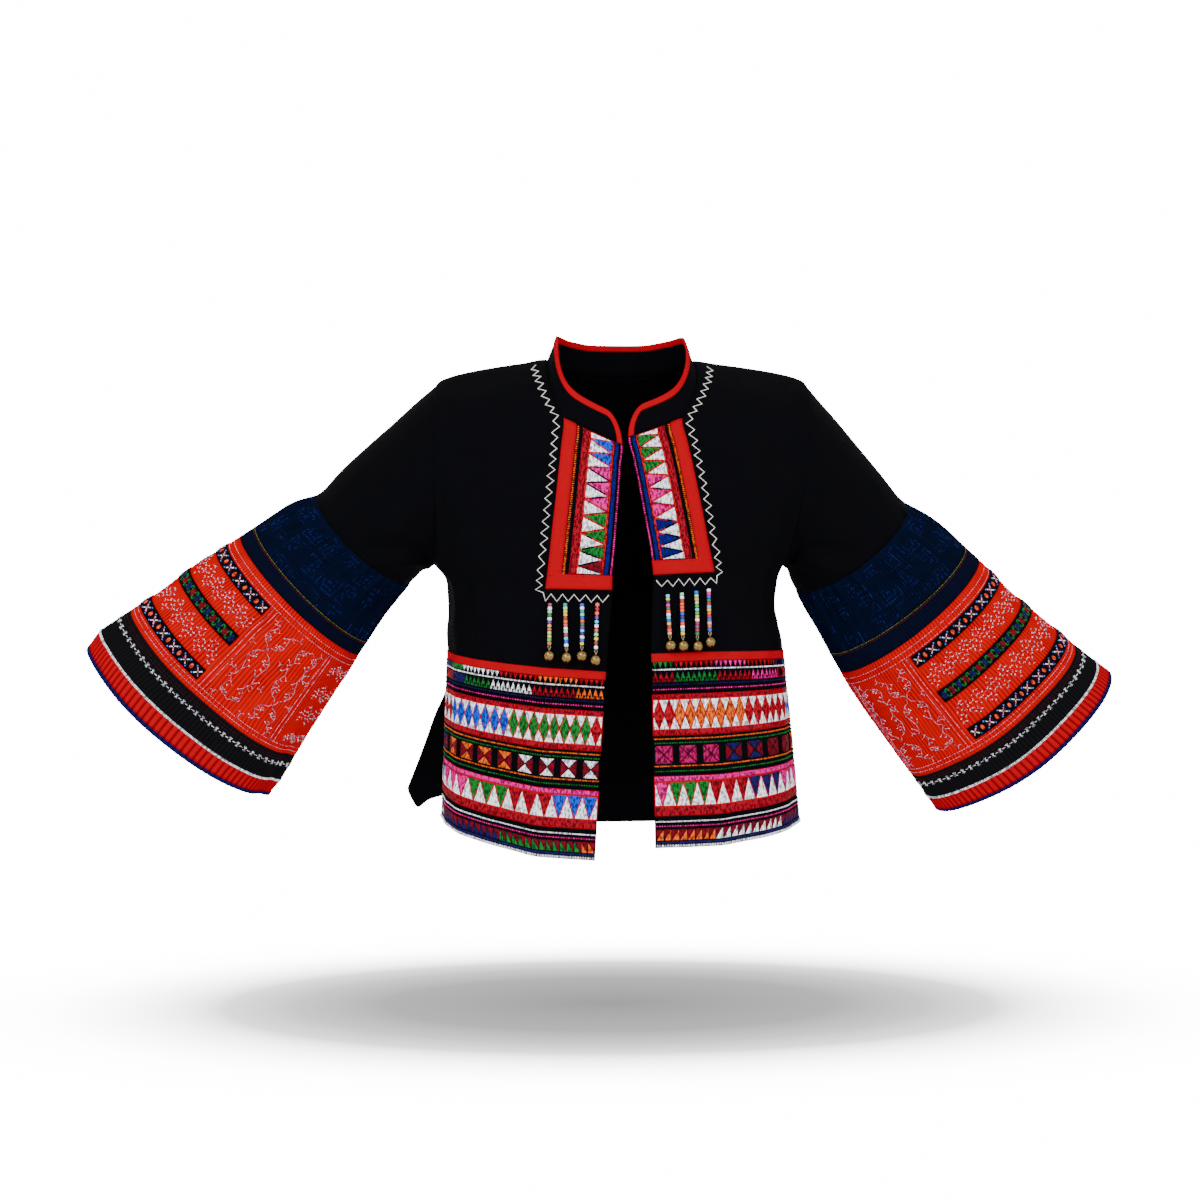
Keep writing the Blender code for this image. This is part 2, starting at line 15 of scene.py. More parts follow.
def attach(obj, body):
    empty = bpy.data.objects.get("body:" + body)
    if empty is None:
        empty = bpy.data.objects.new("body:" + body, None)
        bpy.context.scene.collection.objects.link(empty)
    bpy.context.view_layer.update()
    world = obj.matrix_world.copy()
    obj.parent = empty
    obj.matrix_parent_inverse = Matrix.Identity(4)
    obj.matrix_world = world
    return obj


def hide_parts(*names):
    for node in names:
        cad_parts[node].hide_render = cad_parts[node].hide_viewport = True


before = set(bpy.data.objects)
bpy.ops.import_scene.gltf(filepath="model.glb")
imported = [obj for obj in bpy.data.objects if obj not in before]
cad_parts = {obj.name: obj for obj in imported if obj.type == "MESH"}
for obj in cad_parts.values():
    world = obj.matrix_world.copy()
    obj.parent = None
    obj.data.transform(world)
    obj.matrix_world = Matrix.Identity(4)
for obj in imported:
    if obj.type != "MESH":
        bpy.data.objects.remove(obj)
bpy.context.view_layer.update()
random.seed(7)

WALL = 0.0015      # body cloth
TRIM = 0.0008      # ribbon cloth sewn on it
LIFT = 0.0017
SIDES = (("right", -1), ("left", 1))

# ---------------------------------------------------------------- camera and light
CAMERA_TURN = math.radians(-5)
CAMERA_AWAY, CAMERA_ASIDE, CAMERA_HEIGHT = 3.0, -0.0209, -0.264
VIEW_WIDTH = 1.32


def set_camera():
    data = bpy.data.cameras.new("camera")
    data.sensor_width = 36
    data.lens = 36 * CAMERA_AWAY / VIEW_WIDTH
    camera = bpy.data.objects.new("camera", data)
    s, c = math.sin(CAMERA_TURN), math.cos(CAMERA_TURN)
    camera.location = (CAMERA_AWAY * s + CAMERA_ASIDE * c, -CAMERA_AWAY * c + CAMERA_ASIDE * s, CAMERA_HEIGHT)
    camera.rotation_euler = (math.pi / 2, 0, CAMERA_TURN)
    bpy.context.scene.collection.objects.link(camera)
    bpy.context.scene.camera = camera


def area_light(name, place, target, size, power):
    data = bpy.data.lights.new(name, "AREA")
    data.shape, data.size, data.size_y = "RECTANGLE", size[0], size[1]
    data.energy = power
    light = bpy.data.objects.new(name, data)
    light.location = place
    light.rotation_euler = (Vector(target) - Vector(place)).to_track_quat("-Z", "Y").to_euler()
    bpy.context.scene.collection.objects.link(light)


# ---------------------------------------------------------------- shader words
class Socket:
    """A shader value that takes part in Python sums."""

    def __init__(self, kit, link):
        self.kit, self.link = kit, link

    def _do(self, operation, *values):
        return self.kit.node("ShaderNodeMath", {"operation": operation}, dict(enumerate(values)))

    def __add__(self, other): return self._do("ADD", self, other)
    def __radd__(self, other): return self._do("ADD", other, self)
    def __sub__(self, other): return self._do("SUBTRACT", self, other)
    def __rsub__(self, other): return self._do("SUBTRACT", other, self)
    def __mul__(self, other): return self._do("MULTIPLY", self, other)
    def __rmul__(self, other): return self._do("MULTIPLY", other, self)
    def __gt__(self, other): return self._do("GREATER_THAN", self, other)
    def __pow__(self, other): return self._do("POWER", self, other)
    def sin(self): return self._do("SINE", self)
    def abs(self): return self._do("ABSOLUTE", self)
    def fract(self): return self._do("FRACT", self)
    def most(self, other): return self._do("MAXIMUM", self, other)
    def least(self, other): return self._do("MINIMUM", self, other)


class Finish:
    """One cloth, thread or metal."""

    def __init__(self, name, roughness, metallic=0.0, coat=0.0, specular=0.3):
        self.material = bpy.data.materials.new(name)
        self.material.use_nodes = True
        self.tree = self.material.node_tree
        self.shader = next(n for n in self.tree.nodes if n.type == "BSDF_PRINCIPLED")
        for socket, value in (("Roughness", roughness), ("Metallic", metallic), ("Coat Weight", coat),
                              ("Specular IOR Level", specular)):
            self.shader.inputs[socket].default_value = value

    def node(self, kind, settings=None, inputs=None, out=0):
        made = self.tree.nodes.new(kind)
        for key, value in (settings or {}).items():
            if key == "stops":
                ramp = made.color_ramp
                while len(ramp.elements) < len(value):
                    ramp.elements.new(0.5)
                for stop, (at, colour) in zip(ramp.elements, value):
                    stop.position, stop.color = at, (*colour, 1)
            else:
                setattr(made, key, value)
        for key, value in (inputs or {}).items():
            self.feed(made.inputs[key], value)
        return Socket(self, made.outputs[out])

    def feed(self, socket, value):
        """Links a shader value to a socket, or sets a plain number or colour on it."""
        if isinstance(value, Socket):
            self.tree.links.new(value.link, socket)
        elif hasattr(value, "__len__") and len(socket.default_value) == 4:
            socket.default_value = (*value[:3], 1)
        else:
            socket.default_value = value

    def cut(self):
        """Position on the cut cloth, in metres, and its two parts."""
        place = self.node("ShaderNodeUVMap", {"uv_map": "cut"})
        return (place, *self.parts(place))

    def parts(self, place):
        return [self.node("ShaderNodeSeparateXYZ", inputs={0: place}, out=axis) for axis in (0, 1)]

    def painted(self, layer):
        return self.node("ShaderNodeVertexColor", {"layer_name": layer})

    def noise(self, place, scale, detail=2.0, rough=0.5):
        return self.node("ShaderNodeTexNoise", {"noise_dimensions": "3D"},
                         {"Vector": place, "Scale": scale, "Detail": detail, "Roughness": rough})

    def blend(self, factor, a, b, mode="MIX"):
        return self.node("ShaderNodeMix", {"data_type": "RGBA", "blend_type": mode}, {0: factor, 6: a, 7: b}, 2)

    def bump(self, height, strength, distance):
        values = {"Height": height, "Strength": strength, "Distance": distance}
        self.set(Normal=self.node("ShaderNodeBump", None, values))

    def set(self, **links):
        for key, value in links.items():
            self.feed(self.shader.inputs[key.replace("_", " ")], value)


def ink(r, g, b):
    """A dye from its 0 to 255 screen values."""
    return tuple((v / 255 / 12.92) if v <= 10 else ((v / 255 + 0.055) / 1.055) ** 2.4 for v in (r, g, b))


# thread, glass and seam colours: name, red, green and blue
DYE_BOOK = """
    black 9 9 12, navy 20 12 74, royal 10 6 98, blue 0 66 190, red 150 2 22, outline 168 2 18, crimson 138 2 24,
    orange 214 84 14, green 16 102 36, seam 120 10 16, hem_seam 150 14 20, ecru 214 212 205, pink 204 0 122,
    magenta 150 2 76, white 240 242 251, dark_red 104 3 24, pale_pink 236 130 160, lime 104 116 28,
    sky 70 130 236, star_white 214 213 222, maroon 62 14 30, tendril 204 140 164, coral 224 60 40,
    yellow 226 186 10, peach 238 150 84, mint 130 214 150, teal 16 130 140, aqua 70 190 214, purple 92 28 140,
    grass 52 168 30
"""
DYE = {name: ink(*map(int, rgb)) for name, *rgb in (row.split() for row in DYE_BOOK.split(","))}


YARN = 0.0009       # from thread to thread of the weave


def weave(across, along):
    """Warp and weft as a height."""
    turn = 2 * math.pi / YARN
    warp, weft = (across * turn).sin(), (along * turn).sin()
    return warp * weft * 0.5 + 0.5


def plain_cloth(name, colour, faded, specular, painted_pleat_shade=False):
    finish = Finish(name, 0.85, specular=specular)
    place, across, along = finish.cut()
    patchy = finish.noise(place, 45, 3)
    slub = finish.noise(place, 900, 1)
    tone = finish.blend(patchy * 0.7 + slub * 0.3, colour, faded)
    # painted shade: the 'pleat' attribute darkens the colour in the pleat grooves
    if painted_pleat_shade:
        tone = finish.blend(1.0, tone, finish.painted("pleat"), "MULTIPLY")
    finish.set(Base_Color=tone, Roughness=slub * 0.12 + 0.79)
    finish.bump(weave(across, along) * 0.7 + slub * 0.5, 0.35, 0.0004)
    return finish.material


def batik_cloth(name):
    """Dark indigo with faint resist lines in nested squares, broken by the shade painted into the pleat grooves."""
    finish = Finish(name, 0.85, specular=0.02)
    place, across, along = finish.cut()
    wear_and_painted_shade = finish.noise(place, 60, 3)
    grain = finish.noise(place, 420, 2)
    block_x = ((across + wear_and_painted_shade * 0.010) * 31.0).fract() - 0.5
    block_y = ((along + wear_and_painted_shade * 0.008 + grain * 0.002) * 34.0).fract() - 0.5
    reach = block_x.abs().most(block_y.abs())
    lines = (reach * 38.0).sin() > 0.1
    hatch = (across * 2100.0).sin() > 0.1
    print_on = finish.noise(place, 34, 2) > 0.50
    mark = lines * hatch * print_on * (finish.noise(place, 260, 2) > 0.48)
    ground = finish.blend(wear_and_painted_shade, ink(2, 6, 20), ink(3, 9, 34))
    faint = finish.blend(finish.noise(place, 90, 1), ink(9, 15, 52), ink(20, 31, 104))
    tone = finish.blend(mark * 0.8, ground, faint)
    # painted shade: the 'pleat' attribute darkens the colour in the pleat grooves
    tone = finish.blend(1.0, tone, finish.painted("pleat"), "MULTIPLY")
    finish.set(Base_Color=tone)
    finish.bump(weave(across, along) * 0.6 + grain * 0.5, 0.3, 0.0004)
    return finish.material


def thread_work(name, roughness=0.62, mottle=0.80, strokes=(1.0, 0.42, 1.0)):
    """Filled stitches: each face brings its own colour, flecked by short strokes of painted shade."""
    finish = Finish(name, roughness, specular=0.05)
    place, across, along = finish.cut()
    colour = finish.painted("thread")
    drawn = finish.node("ShaderNodeVectorMath", {"operation": "MULTIPLY"}, {0: place, 1: strokes})
    fleck = finish.noise(drawn, 480, 2, 0.6)
    broad = finish.noise(place, 140, 1)
    shade = ((fleck - 0.43) * 10.0).most(0.0).least(1.0)
    strand = (across * (2 * math.pi / 0.0008) + fleck * 6.0).sin() * 0.5 + 0.5
    # painted shade: the flecks darken the thread's colour in short strokes; the broad noise adds random tone
    wear_and_painted_shade = finish.blend(shade * mottle + broad * 0.10 + (0.95 - mottle), (0.04, 0.04, 0.05), (1, 1, 1))
    tone = finish.blend(1.0, colour, wear_and_painted_shade, "MULTIPLY")
    finish.set(Base_Color=tone, Roughness=strand * 0.15 + (roughness - 0.08))
    finish.bump(strand * 0.5 + shade * 0.9, 0.5, 0.0005)
    return finish.material


def bead_glass(name):
    finish = Finish(name, 0.22, coat=0.08, specular=0.25)
    colour = finish.painted("thread")
    place = finish.node("ShaderNodeTexCoord", out=3)
    cloud = finish.noise(place, 500, 1)
    tone = finish.blend(cloud * 0.10, colour, (0.4, 0.4, 0.4))
    finish.set(Base_Color=tone, Roughness=cloud * 0.1 + 0.17)
    return finish.material


def metal(name, colour, wear_and_painted_shade, roughness):
    finish = Finish(name, roughness, metallic=1.0)
    place = finish.node("ShaderNodeTexCoord", out=3)
    cloud = finish.noise(place, 300, 3)
    finish.set(Base_Color=finish.blend(cloud, colour, wear_and_painted_shade), Roughness=cloud * 0.1 + (roughness - 0.05))
    finish.bump(cloud, 0.12, 0.0003)
    return finish.material


CLOTH = {
    "black": plain_cloth("black_cotton", ink(3, 3, 5), ink(6, 6, 9), 0.02),
    "red": plain_cloth("red_cotton", ink(140, 0, 15), ink(152, 0, 19), 0.01),
    # the cloths given True get painted shade in their pleat grooves
    "scarlet": plain_cloth("scarlet_pleats", ink(162, 0, 6), ink(180, 1, 8), 0.0, True),
    "night": plain_cloth("navy_ribs", ink(3, 6, 23), ink(5, 10, 31), 0.02, True),
    "ribbed_black": plain_cloth("black_ribs", ink(8, 8, 10), ink(13, 13, 16), 0.03, True),
    "ribbed_red": plain_cloth("red_ribs", ink(146, 0, 14), ink(160, 0, 18), 0.01, True),
    "royal": plain_cloth("royal_cord", ink(9, 2, 58), ink(16, 6, 76), 0.05, True),
    "batik": batik_cloth("indigo_batik"),
    "thread": thread_work("embroidery_thread"),
    "cord": thread_work("couched_cord", 0.7, 0.2, (1.0, 1.0, 1.0)),
}
BEADS = bead_glass("bead_glass")
BRASS = metal("bell_brass", ink(142, 118, 70), ink(92, 72, 38), 0.09)
SILVER = metal("loop_silver", ink(170, 162, 142), ink(110, 104, 90), 0.25)


# ---------------------------------------------------------------- tables
def tenths(text):
    """Rows of a table: a key, then lengths written in tenths of a millimetre."""
    rows = [line.split() for line in text.strip().splitlines()]
    return [(float(key) if "." in key else int(key), *(int(v) / 10000 for v in row)) for key, *row in rows]


# Fronts, a row per height: the front edge, the outer edge of the neck band
# (at the neck line for rows 0 to 3) and the armhole or side seam.
# row, edge_x, edge_z, band_x, band_z, out_x, out_z
FRONT_ROWS = {
    "right": tenths("""
        0 50 -995 785 -20 1998 -310
        1 50 -995 795 -180 2030 -400
        2 50 -995 780 -360 2040 -560
        3 50 -995 735 -540 2045 -770
        4 50 -995 668 -705 2045 -1010
        5 70 -1215 700 -990 2042 -1260
        6 90 -1455 733 -1270 2038 -1500
        7 110 -1700 766 -1550 2032 -1730
        8 131 -1950 800 -1840 2026 -1940
        9 152 -2180 830 -2120 2022 -2115
        10 171 -2380 855 -2360 2018 -2235
        11 174 -2534 872 -2520 1895 -2380
        12 190 -2810 870 -2780 1865 -2620
        13 215 -3100 865 -3060 1858 -2900
        14 239 -3400 860 -3360 1857 -3187
        24 361 -5400 960 -5360 1938 -4990"""),
    "left": tenths("""
        0 13 -910 800 -20 2042 -260
        1 13 -910 815 -180 2060 -360
        2 13 -910 780 -360 2060 -530
        3 13 -910 700 -540 2045 -750
        4 13 -910 606 -700 2020 -1000
        5 55 -1130 650 -950 1985 -1260
        6 98 -1360 700 -1200 1945 -1500
        7 140 -1590 750 -1460 1905 -1730
        8 183 -1830 802 -1720 1865 -1940
        9 222 -2040 850 -1980 1825 -2120
        10 247 -2220 894 -2190 1788 -2240
        11 264 -2374 923 -2340 1728 -2380
        12 257 -2640 912 -2610 1712 -2620
        13 249 -2920 900 -2890 1735 -2910
        14 241 -3209 890 -3190 1788 -3193
        24 277 -5270 980 -5260 1943 -5040"""),
}
# Rows of the grid.  Those from 14 on are the edges of the waist bands.
ROWS = tuple(range(15)) + (14.45, 16.12, 17.2, 18.25, 19.3, 20.32, 21.35, 22.37, 23.68, 24)
BACK_LAST = ROWS[:17] + (18.25, 20.32, 22.37, 24)
NECK, BAND_END, PLACKET_END, ARMPIT, WAIST, VENT = 4, 10, 11, 10, 14, 16
# Where the fronts stand proud of the middle plane at the armhole, a row each.
ARMHOLE_Y = (0, 0.024, 0.042, 0.054, 0.061, 0.0635, 0.0605, 0.052, 0.040, 0.024, 0)
# drop below the shoulder line, depth of the front, depth of the back
DEPTH = (
    (0.000, 0.000, 0.000), (0.008, 0.020, 0.020), (0.016, 0.033, 0.032),
    (0.030, 0.048, 0.048), (0.050, 0.064, 0.063), (0.075, 0.079, 0.076),
    (0.100, 0.090, 0.085), (0.140, 0.100, 0.092), (0.200, 0.105, 0.094),
    (0.300, 0.106, 0.090), (0.400, 0.107, 0.090), (0.550, 0.113, 0.098),
)
# The back: row, half width of the middle part, height there, height at centre
BACK_ROWS = tenths("""
    0 790 -20 -20
    1 620 -100 -100
    2 380 -160 -175
    3 450 -380 -390
    4 550 -640 -650
    5 630 -920 -930
    6 680 -1200 -1210
    10 720 -2300 -2320
    14 740 -3290 -3310
    24 780 -5130 -5160""")
# The back below the vents: row, then out_x, out_y, out_z at each side
BACK_VENT = {
    "right": tenths("""
        16.12 1868 0 -3569
        18.25 2010 160 -3920
        21.35 2180 350 -4420
        24 2300 500 -4830"""),
    "left": tenths("""
        16.12 1821 0 -3585
        18.25 1835 80 -3950
        21.35 1850 140 -4500
        24 1860 180 -4980"""),
}
# Sleeves, a row per ring: middle_y, then top and bottom points of the wearer's
# right sleeve and of the left one, half depth, and how far the front of the
# ring runs on towards the cuff.
# ring, mid_y, rt_x, rt_z, rb_x, rb_z, lt_x, lt_z, lb_x, lb_z, half_depth, run
SLEEVE_RINGS = tenths("""
    1 30 2206 -485 2097 -2268 2210 -446 1872 -2262 640 5
    2 60 2467 -725 2173 -2311 2400 -653 1905 -2315 630 20
    3 100 2740 -965 2226 -2366 2600 -883 1940 -2385 610 40
    4 140 3024 -1227 2269 -2409 2890 -1214 1980 -2460 580 50
    5 180 3297 -1511 2313 -2453 3214 -1579 2028 -2540 550 50
    6 240 3516 -1586 2432 -2596 3453 -1711 2141 -2729 540 40
    7 310 3725 -1695 2574 -2783 3684 -1854 2265 -2931 535 35
    8 400 3980 -1847 2772 -3093 3932 -2043 2439 -3235 530 30
    9 450 4135 -1945 2860 -3227 4093 -2177 2562 -3438 525 30
    10 494 4287 -2045 2944 -3370 4235 -2306 2657 -3590 530 30
    11 522 4386 -2106 3001 -3460 4325 -2389 2721 -3687 530 30
    12 566 4545 -2197 3095 -3598 4463 -2523 2824 -3835 535 35
    13 611 4697 -2311 3189 -3745 4622 -2647 2935 -3988 540 40
    14 639 4791 -2382 3247 -3835 4721 -2723 3003 -4083 540 45
    15 688 4952 -2509 3348 -3993 4892 -2859 3125 -4247 550 50
    16 737 5120 -2627 3450 -4152 5069 -2991 3248 -4412 555 60
    17 765 5219 -2692 3505 -4245 5167 -3069 3319 -4506 560 65
    18 800 5342 -2773 3573 -4361 5291 -3167 3408 -4624 565 75
    19 830 5510 -2885 3657 -4508 5427 -3265 3501 -4746 570 90
    20 860 5677 -2996 3742 -4644 5564 -3364 3594 -4869 575 105
    21 890 5802 -3150 3849 -4780 5705 -3457 3706 -5003 580 120
    22 900 5830 -3186 3870 -4812 5740 -3485 3730 -5032 580 125""")
SWEEP = math.radians(13)
# Ribbons sewn across the upper half of the flare: number, first and last ring, kind
FLARE_RIBBONS = ((1, 10, 11, "white"), (2, 13, 14, "green"), (3, 16, 17, "white"))
# Collar: place, rise and lean inwards at the back, at the sides and at the front ends
COLLAR_RISE = {"back": (0.0390, 0.0060), "side": (0.0270, 0.0110), "front": (0.0310, 0.0060)}
BINDING = 0.0065
BAND_COLS = (0.0, 0.39, 0.78, 1.0)       # across the neck band
SIDE_COLS = 8                            # from the neck band to the side
# Strings of beads: top x, top z, bell x, bell z
STRANDS = {
    "right": ((0.0831, 0.2672, 0.0844, 0.3229), (0.0672, 0.2672, 0.0660, 0.3247),
              (0.0496, 0.2675, 0.0501, 0.3230), (0.0332, 0.2668, 0.0357, 0.3275)),
    "left": ((0.0417, 0.2580, 0.0440, 0.3120), (0.0571, 0.2560, 0.0578, 0.3125),
             (0.0729, 0.2540, 0.0737, 0.3128), (0.0867, 0.2520, 0.0874, 0.3085)),
}
BEAD_R, BELL_R = 0.0023, 0.0062

# ---------------------------------------------------------------- helpers
def between(table, at):
    """Values of a table whose first column is the key, at any key."""
    last = table[0]
    for row in table:
        if row[0] >= at:
            if row[0] == last[0]:
                return row[1:]
            t = (at - last[0]) / (row[0] - last[0])
            return tuple(a + (b - a) * t for a, b in zip(last[1:], row[1:]))
        last = row
    return table[-1][1:]


# ---------------------------------------------------------------- the form
def shoulder_z(side, x):
    _, _, neck_x, neck_z, tip_x, tip_z = between(FRONT_ROWS[side], 0)
    if x < neck_x:
        return neck_z + (neck_x - x) * 0.10
    return neck_z + (tip_z - neck_z) * (x - neck_x) / (tip_x - neck_x)


def body_y(side, x, z, out_x, row, column):
    """Depth of the body inside the jacket at a point of a row: column 1 is the front, 2 the back."""
    drop = max(0.0, shoulder_z(side, min(x, 0.2)) - z)
    depth = between(DEPTH, drop)[column - 1]
    hole = ARMHOLE_Y[min(int(round(row)), ARMPIT)] if row <= ARMPIT else 0.0
    bulge = 1 - 0.55 * min(1.0, row / ARMPIT) ** 1.5
    t = min(1.0, x / out_x)
    return hole + (depth - hole) * (1 - t ** 2.3) ** bulge


def front_grid(side, sign):
    grid = []
    for k, row in enumerate(ROWS):
        edge_x, edge_z, band_x, band_z, out_x, out_z = between(FRONT_ROWS[side], row)
        line = [(edge_x + (band_x - edge_x) * f, edge_z + (band_z - edge_z) * f) for f in BAND_COLS]
        start = math.asin(band_x / out_x)
        for i in range(1, SIDE_COLS + 1):
            a = start + (math.pi / 2 - start) * i / SIDE_COLS
            line.append((out_x * math.sin(a), band_z + (out_z - band_z) * (i / SIDE_COLS)))
        points = []
        for x, z in line:
            y = body_y(side, x, z, out_x, row, 1)
            if k > VENT:          # the side edge stands a little forward below the vent
                y += 0.015 * (row - 16.12) / 7.88 * (x / out_x) ** 6
            points.append(Vector((sign * x, -y, z)))
        grid.append(points)
    return grid


def back_grid(fronts):
    """From the wearer's right to the left; shares the seams of the fronts."""
    grid, middle = [], 6
    for k, row in enumerate(BACK_LAST):
        half, half_z, centre_z = between(BACK_ROWS, row)
        wings = {}
        for side, sign in SIDES:
            _, _, band_x, band_z, out_x, out_z = between(FRONT_ROWS[side], row)
            out_y = 0.0
            inner_x, inner_z = (band_x, band_z) if k == 0 else (half, half_z)
            if k > VENT:
                out_x, out_y, out_z = between(BACK_VENT[side], row)
            start = math.asin(inner_x / out_x)
            wing = []
            for i in range(SIDE_COLS + 1):
                a = start + (math.pi / 2 - start) * i / SIDE_COLS
                x = out_x * math.sin(a)
                z = inner_z + (out_z - inner_z) * i / SIDE_COLS
                y = body_y(side, x, z, out_x, row, 2) + out_y * (x / out_x) ** 3
                wing.append(Vector((sign * x, y, z)))
            if k == 0 or ARMPIT <= k <= VENT:          # the shoulder and the side seam are shared
                wing[-1] = fronts[side][k][-1].copy()
            wings[side] = wing
        line = wings["right"][::-1]
        a, b = wings["right"][0], wings["left"][0]
        for i in range(1, middle):
            t = i / middle
            bow = 1 - (2 * t - 1) ** 2
            x = a.x + (b.x - a.x) * t
            z = a.z + (b.z - a.z) * t + (centre_z - half_z) * bow
            side = "right" if x < 0 else "left"
            y = body_y(side, abs(x), z, 0.2, row, 2)
            line.append(Vector((x, y, z)))
        line += wings["left"]
        grid.append(line)
    return grid


def sleeve_grid(side, sign, front, back):
    """Rings from the armhole to the cuff: top, front, underarm, back."""
    last = SIDE_COLS + len(BAND_COLS) - 1
    end = 0 if side == "right" else len(back[0]) - 1
    hole = [front[r][last] for r in range(ARMPIT + 1)]
    hole += [back[r][end] for r in range(ARMPIT - 1, 0, -1)]
    rings = [hole]
    count = len(hole)
    for row in SLEEVE_RINGS:
        mid_y = row[1]
        tx, tz, bx, bz = row[2:6] if side == "right" else row[6:10]
        depth, run = row[10:12]
        top, low = Vector((sign * tx, mid_y, tz)), Vector((sign * bx, mid_y, bz))
        middle, up = (top + low) / 2, (top - low) / 2
        ahead = Vector((-up.z, 0, up.x)).normalized()
        if ahead.x * sign < 0:
            ahead = -ahead
        ring = []
        for i in range(count):
            a = 2 * math.pi * i / count
            sweep = SWEEP * min(1.0, max(0.0, (row[0] - 1) / 4))
            side_way = Vector((0, -math.cos(sweep), 0)) + ahead * math.sin(sweep)
            p = middle + up * math.cos(a) + side_way * depth * math.sin(a)
            p += ahead * run * math.sin(a) ** 2
            if row[0] < 4:                    # ease out of the shape of the armhole
                share = (1 + math.cos(a)) / 2
                eased = hole[i] + (top - hole[0]) * share + (low - hole[count // 2]) * (1 - share)
                p = eased.lerp(p, (0.25, 0.55, 0.85)[row[0] - 1])
            ring.append(p)
        rings.append(ring)
    return rings


# ---------------------------------------------------------------- cloth
def through(points, at, ghost=None):
    """Smooth curves through rows of points, read at fractional rows."""
    skip = 0
    if ghost is not None:
        points, skip = np.concatenate([ghost[None], points]), 1
    gap = np.maximum(np.linalg.norm(np.diff(points, axis=0), axis=2).mean(axis=1), 1e-6)
    slope = np.diff(points, axis=0) / gap[:, None, None]
    tangent = np.empty_like(points)
    part = (gap[1:] / (gap[1:] + gap[:-1]))[:, None, None]
    tangent[1:-1] = slope[:-1] * part + slope[1:] * (1 - part)
    tangent[0] = slope[0] * 1.5 - tangent[1] * 0.5
    tangent[-1] = slope[-1] * 1.5 - tangent[-2] * 0.5
    at = np.asarray(at) + skip
    i = np.clip(np.floor(at).astype(int), 0, len(points) - 2)
    t, h = (at - i)[:, None, None], gap[i][:, None, None]
    return ((2 * t ** 3 - 3 * t ** 2 + 1) * points[i] + (t ** 3 - 2 * t ** 2 + t) * h * tangent[i]
            + (3 * t ** 2 - 2 * t ** 3) * points[i + 1] + (t ** 3 - t ** 2) * h * tangent[i + 1])


class Drape:
    """A smooth cloth surface through a grid of points, with its creases and the shade painted into its pleat grooves.
    """
    FINE = 10

    def __init__(self, grid, wrap=False, ghost=None, away=None, creases=None, grooves=None):
        points = np.array([[tuple(p) for p in line] for line in grid])
        self.wrap, self.creases, self.grooves = wrap, creases, grooves
        self.rows, self.cols = points.shape[:2]
        pad = 3 if wrap else 0
        if wrap:
            points = np.concatenate([points[:, -pad:], points, points[:, :pad + 1]], axis=1)
        ghost = None if ghost is None else np.array([tuple(p) for p in ghost])
        rows = np.arange((self.rows - 1) * self.FINE + 1) / self.FINE
        last = self.cols if wrap else self.cols - 1
        cols = pad + np.arange(last * self.FINE + 1) / self.FINE
        spread = through(points, rows, ghost)
        self.net = through(spread.swapaxes(0, 1), cols).swapaxes(0, 1)
        down, over = np.gradient(self.net, axis=0), np.gradient(self.net, axis=1)
        if wrap:
            over[:, 0] = over[:, -1] = (self.net[:, 1] - self.net[:, -2]) / 2
        normal = np.cross(over, down)
        normal /= np.maximum(np.linalg.norm(normal, axis=2), 1e-9)[..., None]
        self.sign = 1 if (normal * away(self.net)).sum() > 0 else -1
        self.normal = normal * self.sign
        self.per_row = np.linalg.norm(down, axis=2) * self.FINE     # metres in a row
        self.per_col = np.linalg.norm(over, axis=2) * self.FINE
        self.down = np.concatenate([[0], np.cumsum(self.per_row[:-1].mean(axis=1))]) / self.FINE
        self.over = np.concatenate([[0], np.cumsum(self.per_col[:, :-1].mean(axis=0))]) / self.FINE

    def _look(self, table, r, c):
        r = np.clip(np.asarray(r, float) * self.FINE, 0, table.shape[0] - 1.0001)
        c = np.asarray(c, float)
        c = (c % self.cols) if self.wrap else c
        c = np.clip(c * self.FINE, 0, table.shape[1] - 1.0001)
        i, j = r.astype(int), c.astype(int)
        t, u = r - i, c - j
        if table.ndim == 3:
            t, u = t[..., None], u[..., None]
        return ((table[i, j] * (1 - u) + table[i, j + 1] * u) * (1 - t)
                + (table[i + 1, j] * (1 - u) + table[i + 1, j + 1] * u) * t)

    def at(self, r, c, lift=0.0):
        """Points of the cloth at rows r and columns c, raised along its normal."""
        r, c = np.broadcast_arrays(np.asarray(r, float), np.asarray(c, float))
        raised = np.asarray(lift, float) + (self.creases(r, c) if self.creases else 0.0)
        return self._look(self.net, r, c) + self._look(self.normal, r, c) * np.broadcast_to(raised, r.shape)[..., None]

    def step(self, r, c, down=0.0, over=0.0):
        """The row and column some metres away."""
        return (r + np.asarray(down) / np.maximum(self._look(self.per_row, r, c), 1e-5),
                c + np.asarray(over) / np.maximum(self._look(self.per_col, r, c), 1e-5))

    def cut_uv(self, r, c):
        whole = self.over[-1]
        c = np.asarray(c, float)
        turns = np.floor(c / self.cols) if self.wrap else 0
        inside = c - turns * self.cols if self.wrap else c
        u = np.interp(inside * self.FINE, np.arange(len(self.over)), self.over) + turns * whole
        v = np.interp(np.asarray(r) * self.FINE, np.arange(len(self.down)), self.down)
        return np.stack([u, v], axis=-1)


